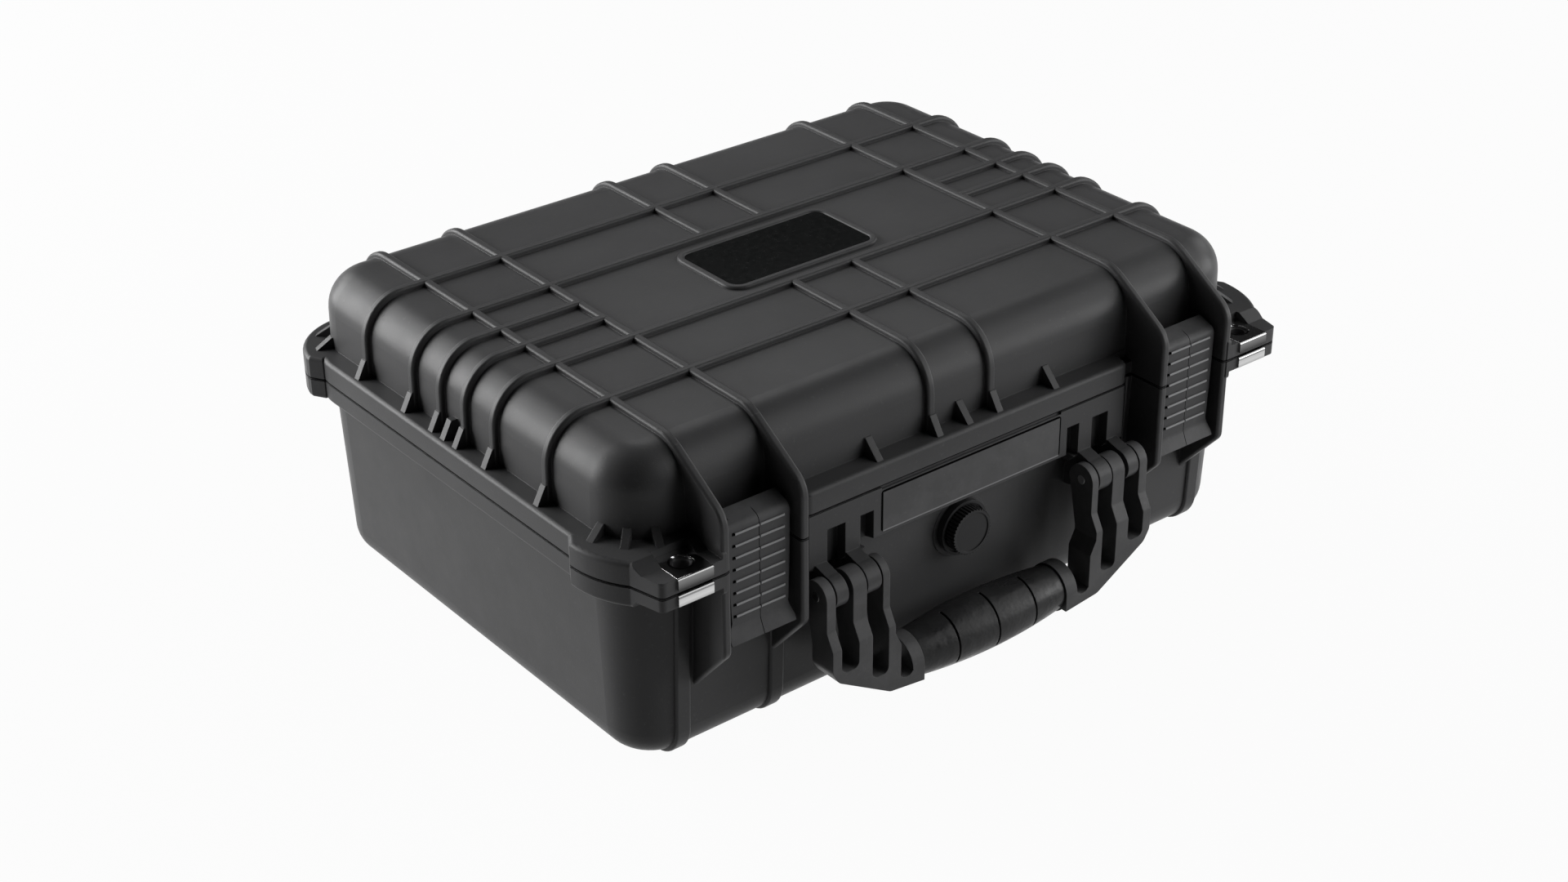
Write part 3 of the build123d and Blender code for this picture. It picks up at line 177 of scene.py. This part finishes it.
def math_node(tree, operation, first, second=0.0):
    """One sum on sockets or numbers; an operation on one value leaves second alone."""
    node = add_node(tree, "ShaderNodeMath", operation=operation)
    for socket, value in ((node.inputs[0], first), (node.inputs[1], second)):
        if isinstance(value, (int, float)):
            socket.default_value = value
        else:
            tree.links.new(value, socket)
    return node.outputs[0]


def product(tree, first, second):
    return math_node(tree, "MULTIPLY", first, second)


def absolute(tree, value):
    return math_node(tree, "ABSOLUTE", value)


def noise_node(tree, coords, scale, detail=2.0, rough=0.5, stretch=None):
    vector = coords
    if stretch:
        mapping = add_node(tree, "ShaderNodeMapping")
        mapping.inputs["Scale"].default_value = stretch
        tree.links.new(coords, mapping.inputs["Vector"])
        vector = mapping.outputs["Vector"]
    node = add_node(tree, "ShaderNodeTexNoise")
    node.inputs["Scale"].default_value = scale
    node.inputs["Detail"].default_value = detail
    node.inputs["Roughness"].default_value = rough
    tree.links.new(vector, node.inputs["Vector"])
    return node.outputs["Fac"]


def bump(tree, height, distance, strength=1.0, normal=None):
    node = add_node(tree, "ShaderNodeBump")
    node.inputs["Distance"].default_value = distance
    node.inputs["Strength"].default_value = strength
    tree.links.new(height, node.inputs["Height"])
    if normal is not None:
        tree.links.new(normal, node.inputs["Normal"])
    return node.outputs["Normal"]


def rounded(tree, radius):
    """The surface normal with sharp edges rounded over radius."""
    node = add_node(tree, "ShaderNodeBevel", samples=4)
    node.inputs["Radius"].default_value = radius
    return node.outputs["Normal"]


def toned(tone, factor, lift=0.0):
    """A tone made lighter or darker, as RGBA, never above 1."""
    return tuple(min(c * factor + lift, 1.0) for c in tone) + (1.0,)


def new_material(name):
    """A material with its tree, its shader and the piece's own coordinates."""
    material = bpy.data.materials.new(name)
    material.use_nodes = True
    tree = material.node_tree
    tree.nodes.clear()
    output = tree.nodes.new("ShaderNodeOutputMaterial")
    shader = tree.nodes.new("ShaderNodeBsdfPrincipled")
    tree.links.new(shader.outputs["BSDF"], output.inputs["Surface"])
    coords = tree.nodes.new("ShaderNodeTexCoord").outputs["Object"]
    return material, tree, shader, coords


# ---------------------------------------------------------------- masks
def band(tree, value, centre, half, soft):
    """1 where value lies within half of centre, falling to 0 over soft."""
    away = absolute(tree, math_node(tree, "SUBTRACT", value, centre))
    return ramp(tree, away, half, half + soft, 1.0, 0.0)


def axis_of(tree, coords, axis):
    split = tree.nodes.new("ShaderNodeSeparateXYZ")
    tree.links.new(coords, split.inputs[0])
    return split.outputs[axis]


def seam_shade_mask(tree, coords):
    """Painted shade in the gap where lid and base meet, left off the flat rims."""
    line = band(tree, axis_of(tree, coords, "Z"), PARTING_Z, SEAM_HALF, SEAM_FADE)
    level = absolute(tree, axis_of(tree, coords.node.outputs["Normal"], "Z"))
    return product(tree, line, ramp(tree, level, *SEAM_LEVEL_FADE, 1.0, 0.0))


def crest_highlight_mask(tree, coords):
    """Painted highlights on the raised bars across a latch's face, broken at the middle by the
    flash line.
    """
    depth = axis_of(tree, coords, "Y")
    out = ramp(tree, depth, BAR_FACE_Y - CREST_OUT, BAR_FACE_Y + CREST_IN, 1.0, 0.0)
    middle_z = (BAR_TOP_Z + BAR_LOW_Z) / 2
    half_z = (BAR_TOP_Z - BAR_LOW_Z) / 2 + CREST_OVER
    high = band(tree, axis_of(tree, coords, "Z"), middle_z, half_z, CREST_FADE)
    side = absolute(tree, axis_of(tree, coords, "X"))
    gap = band(tree, side, LATCH_X, CREST_GAP_HALF, CREST_GAP_FADE)
    return product(tree, product(tree, out, high), math_node(tree, "SUBTRACT", 1.0, gap))


def bar_end_shade_mask(tree, coords):
    """Small dots of painted shade at the left end of each grip bar on the latches."""
    wide = axis_of(tree, coords, "X")
    left = math_node(
        tree,
        "MAXIMUM",
        band(tree, wide, -LATCH_X - BAR_END_X, BAR_DOT_HALF_X, BAR_DOT_FADE),
        band(tree, wide, LATCH_X - BAR_END_X, BAR_DOT_HALF_X, BAR_DOT_FADE),
    )
    height = math_node(tree, "SUBTRACT", axis_of(tree, coords, "Z"), BAR_TOP_Z)
    turn = math_node(tree, "WRAP", height)
    turn.node.inputs[1].default_value = BAR_STEP / 2
    turn.node.inputs[2].default_value = -BAR_STEP / 2
    shaded_dots = product(tree, left, band(tree, turn, 0.0, BAR_DOT_HALF_Z, BAR_DOT_FADE))
    end_low, end_high = (BAR_LOW_Z - down for down in BAR_DOT_END_FADE)
    return product(tree, shaded_dots, ramp(tree, axis_of(tree, coords, "Z"), end_low, end_high, 0.0, 1.0))


def flash_line_shade_mask(tree, coords):
    """A faint line of painted shade along the flash line down the middle of a latch's face."""
    side = absolute(tree, axis_of(tree, coords, "X"))
    line = band(tree, side, LATCH_X, FLASH_HALF, FLASH_FADE)
    front = ramp(tree, axis_of(tree, coords, "Y"), FLASH_FRONT_Y, FLASH_BACK_Y, 1.0, 0.0)
    return product(tree, line, front)


def latch_shade_mask(tree, coords):
    """All the painted shade on a latch's face."""
    return math_node(tree, "MAXIMUM", flash_line_shade_mask(tree, coords), bar_end_shade_mask(tree, coords))


def panel_groove_shade_mask(tree, coords):
    """Painted shade in the gap along the sides and top of the name plate."""
    side = absolute(tree, axis_of(tree, coords, "X"))
    ends = ramp(tree, side, *(PANEL_X - inwards for inwards in GROOVE_SIDE_FADE), 0.0, 1.0)
    height = axis_of(tree, coords, "Z")
    top = ramp(tree, height, *(PANEL_TOP_Z - down for down in GROOVE_TOP_FADE), 0.0, 1.0)
    return math_node(tree, "MAXIMUM", ends, top)


def panel_sill_highlight_mask(tree, coords):
    """A painted highlight along the lower edge of the name plate."""
    height = axis_of(tree, coords, "Z")
    return ramp(tree, height, *(PANEL_LOW_Z + up for up in SILL_FADE), 0.0, SILL_STRENGTH)


def lip_sheen(tree, coords):
    """The painted reflections of the plates' bent lips, as greys, and the mask of the lips."""
    span = ramp(tree, axis_of(tree, coords, "Z"), LIP_LOW_Z, LIP_TOP_Z, 0.0, 1.0)
    bands = tree.nodes.new("ShaderNodeValToRGB")
    steps = bands.color_ramp.elements
    steps[0].position, steps[1].position = LIP_STEPS[0][0], LIP_STEPS[-1][0]
    for place, _ in LIP_STEPS[1:-1]:
        steps.new(place)
    for step, (_, grey) in zip(steps, LIP_STEPS):
        step.color = (grey, grey, grey, 1.0)
    tree.links.new(span, bands.inputs["Fac"])
    depth = axis_of(tree, coords, "Y")
    on_lip = ramp(tree, depth, *(LIP_FACE_Y + inwards for inwards in LIP_DEPTH_FADE), 0.0, 1.0)
    return bands.outputs["Color"], on_lip


def hole_rim(tree, coords):
    """Height of the rolled edge round the padlock hole: it falls towards the hole."""
    across = math_node(tree, "SUBTRACT", absolute(tree, axis_of(tree, coords, "X")), LOCK_X)
    along = math_node(tree, "SUBTRACT", axis_of(tree, coords, "Y"), LOCK_Y)
    squares = math_node(tree, "ADD", product(tree, across, across), product(tree, along, along))
    reach = math_node(tree, "SQRT", squares)
    return ramp(tree, reach, LOCK_RIM_R - RIM_INSIDE, LOCK_RIM_R + RIM_OUTSIDE, 0.0, 1.0)


# ---------------------------------------------------------------- materials
SPECULAR = "Specular IOR Level"


def moulded_plastic(
    name,
    tone,
    rough,
    grain=1500.0,
    depth=0.00005,
    edge=0.0006,
    wear=0.35,
    specular=0.09,
    pale=None,
    painted_shade=None,
):
    """Dark moulded plastic: spark texture, slow drift of tone, edges rounded and rubbed.

    pale masks the painted highlights, which are paler than the rest; the mask after it is the
    painted shade, darker and without specular.
    """
    material, tree, shader, coords = new_material(name)
    drift = noise_node(tree, coords, 9.0, 3.0, 0.6)
    fleck = noise_node(tree, coords, 420.0, 2.0, 0.7)
    spark = noise_node(tree, coords, grain, 2.0, 0.6)
    sheen = noise_node(tree, coords, 55.0, 4.0, 0.65)
    rubbed = toned(tone, 1.9, 0.008)
    drifting = ramp(tree, drift, 0.3, 0.7, 0.0, 1.0)
    base = mix_color(tree, drifting, toned(tone, 0.90), toned(tone, 1.12))
    base = mix_color(tree, ramp(tree, fleck, 0.62, 0.80, 0.0, 0.30), base, rubbed)
    geometry = tree.nodes.new("ShaderNodeNewGeometry")
    worn = ramp(tree, geometry.outputs["Pointiness"], 0.54, 0.64, 0.0, wear)
    worn = product(tree, worn, ramp(tree, sheen, 0.40, 0.62, 0.15, 1.0))
    base = mix_color(tree, worn, base, rubbed)
    # Painted highlight: paler where the mask is 1.
    if pale:
        base = mix_color(tree, pale(tree, coords), base, toned(tone, PAINTED_HIGHLIGHT_FACTOR))
    shader.inputs[SPECULAR].default_value = specular
    # Painted shade: darker and without specular where the mask is 1.
    if painted_shade:
        shade_amount = painted_shade(tree, coords)
        base = mix_color(tree, shade_amount, base, toned(tone, PAINTED_SHADE_FACTOR))
        tree.links.new(ramp(tree, shade_amount, 0.0, 1.0, specular, 0.0), shader.inputs[SPECULAR])
    tree.links.new(base, shader.inputs["Base Color"])
    roughness = ramp(tree, sheen, 0.3, 0.7, rough - 0.035, rough + 0.045)
    tree.links.new(roughness, shader.inputs["Roughness"])
    wavy = noise_node(tree, coords, 26.0, 2.0, 0.5)
    slow = bump(tree, wavy, 0.00035, 0.35, rounded(tree, edge))
    tree.links.new(bump(tree, spark, depth, 0.9, slow), shader.inputs["Normal"])
    return material


def gloss_plate(name, tone):
    """Black label blank: satin gloss with the faintest ripple."""
    material, tree, shader, coords = new_material(name)
    drift = noise_node(tree, coords, 40.0, 2.0)
    shade = mix_color(tree, drift, toned(tone, 0.9), toned(tone, 1.15))
    tree.links.new(shade, shader.inputs["Base Color"])
    roughness = ramp(tree, noise_node(tree, coords, 300.0), 0.3, 0.7, 0.20, 0.28)
    tree.links.new(roughness, shader.inputs["Roughness"])
    shader.inputs[SPECULAR].default_value = 0.06
    ripple = bump(tree, noise_node(tree, coords, 70.0), 0.0001, 0.3)
    tree.links.new(ripple, shader.inputs["Normal"])
    return material


def rubber(name, tone, rough, depth=0.00004, edge=0.0005):
    """Smooth rubber: long soft highlights and light handling marks."""
    material, tree, shader, coords = new_material(name)
    marks = noise_node(tree, coords, 30.0, 5.0, 0.7, (1.0, 2.2, 2.2))
    marked = ramp(tree, marks, 0.35, 0.7, 0.0, 1.0)
    shade = mix_color(tree, marked, toned(tone, 0.85), toned(tone, 1.3))
    tree.links.new(shade, shader.inputs["Base Color"])
    roughness = ramp(tree, marks, 0.35, 0.62, rough - 0.09, rough + 0.12)
    tree.links.new(roughness, shader.inputs["Roughness"])
    shader.inputs[SPECULAR].default_value = 0.15
    waves = noise_node(tree, coords, 70.0, 3.0, 0.6)
    wavy = bump(tree, waves, 0.0012, 0.6, rounded(tree, edge))
    fine = bump(tree, noise_node(tree, coords, 900.0, 2.0), depth, 0.6, wavy)
    tree.links.new(fine, shader.inputs["Normal"])
    return material


def steel(name, tone, rough, stretch, plate=False):
    """Stainless steel with a fine drawn grain; plate adds the painted reflections on the padlock
    plates' lips, and the rim's bump.
    """
    material, tree, shader, coords = new_material(name)
    shader.inputs["Metallic"].default_value = 1.0
    lines = noise_node(tree, coords, 900.0, 3.0, 0.6, stretch)
    cloud = noise_node(tree, coords, 60.0, 2.0)
    shade = mix_color(tree, cloud, toned(tone, 0.92), toned(tone, 1.05))
    roughness = ramp(tree, lines, 0.25, 0.75, rough * 0.7, rough * 1.4)
    tree.links.new(roughness, shader.inputs["Roughness"])
    skin = rounded(tree, 0.0003)
    if plate:
        # Painted reflections: greys up the lips in place of the steel's colour.
        painted_lip_reflections, on_lip = lip_sheen(tree, coords)
        shade = mix_color(tree, on_lip, shade, painted_lip_reflections)
        skin = bump(tree, hole_rim(tree, coords), RIM_HEIGHT, 1.0, skin)
    tree.links.new(shade, shader.inputs["Base Color"])
    tree.links.new(bump(tree, lines, 0.00002, 0.35, skin), shader.inputs["Normal"])
    return material


def foam(name, tone):
    """Open-cell polyurethane foam: pitted, with painted shade in the pits, very matte, slightly
    fuzzy.
    """
    material, tree, shader, coords = new_material(name)
    cells = add_node(tree, "ShaderNodeTexVoronoi", feature="F1")
    cells.inputs["Scale"].default_value = 720.0
    tree.links.new(coords, cells.inputs["Vector"])
    cloud = noise_node(tree, coords, 70.0, 4.0, 0.7)
    shaded_dots = ramp(tree, cells.outputs["Distance"], 0.1, 0.55, 0.0, 1.0)
    # Painted shade: darker towards the middles of the cells, where the bump sinks them.
    shade = mix_color(tree, shaded_dots, toned(tone, 0.45), toned(tone, 1.35))
    clouded = ramp(tree, cloud, 0.35, 0.7, 0.0, 0.5)
    mottled = mix_color(tree, clouded, shade, toned(tone, 0.7))
    tree.links.new(mottled, shader.inputs["Base Color"])
    shader.inputs["Roughness"].default_value = 0.95
    shader.inputs[SPECULAR].default_value = 0.15
    shader.inputs["Sheen Weight"].default_value = 0.25
    shader.inputs["Sheen Roughness"].default_value = 0.6
    rough_skin = bump(tree, noise_node(tree, coords, 180.0, 3.0), 0.0006, 0.5)
    tree.links.new(bump(tree, shaded_dots, 0.0005, 0.8, rough_skin), shader.inputs["Normal"])
    return material


# Painted shade along the parting line.
SHELL = moulded_plastic(
    "moulded_shell", (0.0465, 0.0465, 0.0475), 0.39, specular=0.15, painted_shade=seam_shade_mask
)
# Painted highlights on the latch bars; painted shade along the flash line and at the bars' ends.
LATCH = moulded_plastic(
    "moulded_latch",
    (0.0570, 0.0570, 0.0583),
    0.38,
    grain=1900.0,
    edge=0.0004,
    pale=crest_highlight_mask,
    painted_shade=latch_shade_mask,
)
HANDLE = moulded_plastic("moulded_handle", (0.0700, 0.0700, 0.0713), 0.38, edge=0.0005)
VALVE = moulded_plastic(
    "moulded_valve", (0.0250, 0.0250, 0.0257), 0.36, depth=0.00003, edge=0.0003
)
# Painted highlight along the name plate's lower edge; painted shade in the gap round its sides and
# top.
PANEL = moulded_plastic(
    "moulded_panel",
    (0.0720, 0.0720, 0.0733),
    0.36,
    depth=0.00003,
    edge=0.0003,
    pale=panel_sill_highlight_mask,
    painted_shade=panel_groove_shade_mask,
)
LABEL = gloss_plate("gloss_label", (0.0040, 0.0044, 0.0044))
GRIP = rubber("grip_rubber", (0.0200, 0.0200, 0.0205), 0.33)
SEAL = rubber("seal_rubber", (0.0265, 0.0265, 0.0270), 0.50)
# Painted reflections on the padlock plates' lips.
PLATE_STEEL = steel("plate_steel", (0.66, 0.66, 0.665), 0.13, (1.0, 8.0, 8.0), plate=True)
PIN_STEEL = steel("pin_steel", (0.50, 0.50, 0.505), 0.30, (0.1, 6.0, 6.0))
FOAM = foam("grey_foam", (0.060, 0.0613, 0.064))

FINISH = {
    "base_shell": SHELL,
    "lid_shell": SHELL,
    "name_plate": PANEL,
    "lid_label_plate": LABEL,
    "left_latch_lever": LATCH,
    "right_latch_lever": LATCH,
    "left_latch_claw": LATCH,
    "right_latch_claw": LATCH,
    "handle_frame": HANDLE,
    "handle_grip": GRIP,
    "valve_body": VALVE,
    "valve_knob": VALVE,
    "valve_nut": VALVE,
    "valve_seal_ring": SEAL,
    "lid_seal": SEAL,
    "handle_pins": PIN_STEEL,
    "hinge_pins": PIN_STEEL,
    "left_claw_pin": PIN_STEEL,
    "right_claw_pin": PIN_STEEL,
    "left_latch_pivot_pins": PIN_STEEL,
    "right_latch_pivot_pins": PIN_STEEL,
    "left_base_lock_plate": PLATE_STEEL,
    "right_base_lock_plate": PLATE_STEEL,
    "left_lid_lock_plate": PLATE_STEEL,
    "right_lid_lock_plate": PLATE_STEEL,
    "base_foam_pad": FOAM,
    "base_foam_tray": FOAM,
    "lid_foam": FOAM,
}
for node_name, finish in FINISH.items():
    NODES[node_name].data.materials.clear()
    NODES[node_name].data.materials.append(finish)


# ---------------------------------------------------------------- foam
def object_from(name, mesh, material, body):
    """A piece that rides on a body, with one material in a named slot."""
    piece = bpy.data.objects.new(name, mesh)
    bpy.context.scene.collection.objects.link(piece)
    mesh.materials.clear()
    mesh.materials.append(material)
    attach(piece, body)
    return piece


def voxel_copy(node, voxel):
    """A remeshed copy of a CAD solid's surface, as a new mesh."""
    source = bpy.data.objects.new("scratch_copy", NODES[node].data.copy())
    bpy.context.scene.collection.objects.link(source)
    modifier = source.modifiers.new("voxels", "REMESH")
    modifier.mode = "VOXEL"
    modifier.voxel_size = voxel
    modifier.use_smooth_shade = True
    graph = bpy.context.evaluated_depsgraph_get()
    mesh = bpy.data.meshes.new_from_object(source.evaluated_get(graph))
    bpy.data.objects.remove(source)
    return mesh


def three_columns(vectors, key):
    """One vector attribute of a mesh's points, as rows of three."""
    values = np.empty(len(vectors) * 3)
    vectors.foreach_get(key, values)
    return values.reshape(-1, 3)


def set_points(mesh, points):
    mesh.vertices.foreach_set("co", points.ravel())
    mesh.update()


def soft_surface(mesh):
    """Small uneven hollows over a foam surface, always inwards."""
    points = three_columns(mesh.vertices, "co")
    normals = three_columns(mesh.vertex_normals, "vector")
    for index, point in enumerate(points):
        value = noise.noise(Vector(point) * HOLLOW_SCALE)
        points[index] = point - normals[index] * HOLLOW_DEPTH * (0.5 + 0.5 * value)
    set_points(mesh, points)


def convoluted(mesh, low_z, half_x, half_y):
    """Egg-crate waves on the underside of the lid foam."""
    points = three_columns(mesh.vertices, "co")
    wide, deep, high = points.T
    under = np.clip((low_z + CRATE_REACH - high) / CRATE_REACH_FADE, 0, 1)
    edge_x = np.clip((half_x - np.abs(wide)) / CRATE_SIDE_FADE, 0, 1)
    edge_y = np.clip((half_y - np.abs(deep)) / CRATE_SIDE_FADE, 0, 1)
    wave = np.cos(2 * np.pi * wide / CRATE_PITCH) * np.cos(2 * np.pi * deep / CRATE_PITCH)
    points[:, 2] += CRATE_DEPTH * (0.5 - 0.5 * wave) * under * edge_x * edge_y
    set_points(mesh, points)


def foam_piece(name, node, body, voxel):
    """A soft foam body in the place of one CAD solid."""
    mesh = voxel_copy(node, voxel)
    if node == "lid_foam":
        low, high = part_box(node)
        convoluted(mesh, low[2], high[0] - CRATE_INSET, high[1] - CRATE_INSET)
    soft_surface(mesh)
    piece = object_from(name, mesh, FOAM, body)
    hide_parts(node)


COARSE = 0.003
foam_piece("lid_foam_convoluted", "lid_foam", "lid", COARSE)
foam_piece("base_foam_cut_tray", "base_foam_tray", "base", COARSE)
foam_piece("base_foam_floor_pad", "base_foam_pad", "base", max(COARSE, PAD_VOXEL))


# ---------------------------------------------------------------- floor, world, lights
def any_ray(tree, names):
    """1 for rays of any of the named kinds, 0 for the others."""
    path = tree.nodes.new("ShaderNodeLightPath")
    total = path.outputs[names[0]]
    for other in names[1:]:
        total = math_node(tree, "MAXIMUM", total, path.outputs[other])
    return total


def make_floor():
    """A wide floor, shown white and lighting the case as a mid grey."""
    mesh = bpy.data.meshes.new("floor")
    build = bmesh.new()
    bmesh.ops.create_grid(build, x_segments=2, y_segments=2, size=FLOOR_HALF)
    build.to_mesh(mesh)
    build.free()
    floor = bpy.data.objects.new("floor", mesh)
    floor.location.z = FLOOR_Z
    bpy.context.scene.collection.objects.link(floor)
    material = bpy.data.materials.new("pale_floor")
    material.use_nodes = True
    tree = material.node_tree
    tree.nodes.clear()
    output = tree.nodes.new("ShaderNodeOutputMaterial")
    diffuse = tree.nodes.new("ShaderNodeBsdfDiffuse")
    diffuse.inputs["Color"].default_value = (FLOOR_TONE, FLOOR_TONE, FLOOR_TONE, 1.0)
    white = tree.nodes.new("ShaderNodeEmission")
    white.inputs["Strength"].default_value = 1.0
    mix = tree.nodes.new("ShaderNodeMixShader")
    shown = product(tree, any_ray(tree, SHOWN_RAYS), FLOOR_WHITE)
    tree.links.new(shown, mix.inputs["Fac"])
    tree.links.new(diffuse.outputs["BSDF"], mix.inputs[1])
    tree.links.new(white.outputs["Emission"], mix.inputs[2])
    tree.links.new(mix.outputs["Shader"], output.inputs["Surface"])
    mesh.materials.append(material)


def make_world():
    """A dim even world, the same for all rays."""
    world = bpy.data.worlds.new("studio")
    bpy.context.scene.world = world
    world.use_nodes = True
    tree = world.node_tree
    tree.nodes.clear()
    output = tree.nodes.new("ShaderNodeOutputWorld")
    dim = tree.nodes.new("ShaderNodeBackground")
    dim.inputs["Color"].default_value = (1.0, 1.0, 1.0, 1.0)
    dim.inputs["Strength"].default_value = WORLD_STRENGTH
    tree.links.new(dim.outputs["Background"], output.inputs["Surface"])


def softbox(name, turn, rise, power, size):
    """A square studio light aimed at the case."""
    turn, rise = math.radians(turn), math.radians(rise)
    level = math.cos(rise)
    out = Vector((math.sin(turn) * level, -math.cos(turn) * level, math.sin(rise)))
    data = bpy.data.lights.new(name, "AREA")
    data.shape = "SQUARE"
    data.size = size
    data.energy = power
    light = bpy.data.objects.new(name, data)
    light.location = Vector((0.0, 0.0, AIM_Z)) + out * LIGHT_DISTANCE
    light.rotation_euler = (-out).to_track_quat("-Z", "Y").to_euler()
    light.visible_camera = False
    bpy.context.scene.collection.objects.link(light)


make_floor()
make_world()
for light_values in LIGHTS:
    softbox(*light_values)


# ---------------------------------------------------------------- camera
def make_camera():
    """The photograph's view, from its azimuth, elevation and roll."""
    azimuth, elevation, roll = (math.radians(angle) for angle in VIEW_ANGLES)
    back = Vector(
        (
            math.sin(azimuth) * math.cos(elevation),
            -math.cos(azimuth) * math.cos(elevation),
            math.sin(elevation),
        )
    )
    right = Vector((math.cos(azimuth), math.sin(azimuth), 0.0))
    up = back.cross(right)
    turned_right = right * math.cos(roll) + up * math.sin(roll)
    turned_up = up * math.cos(roll) - right * math.sin(roll)
    place = back * VIEW_DISTANCE - turned_right * VIEW_SHIFT_X - turned_up * VIEW_SHIFT_Y
    place += Vector((0.0, 0.0, CASE_TOP_Z))
    data = bpy.data.cameras.new("photo_camera")
    data.sensor_width = SENSOR_IN_MM
    data.lens = LENS_IN_MM
    data.clip_end = VIEW_END
    camera = bpy.data.objects.new("photo_camera", data)
    turn = Matrix((turned_right, turned_up, back)).transposed()
    camera.matrix_world = Matrix.Translation(place) @ turn.to_4x4()
    bpy.context.scene.collection.objects.link(camera)
    bpy.context.scene.camera = camera


make_camera()
bpy.context.scene.view_settings.view_transform = "Standard"
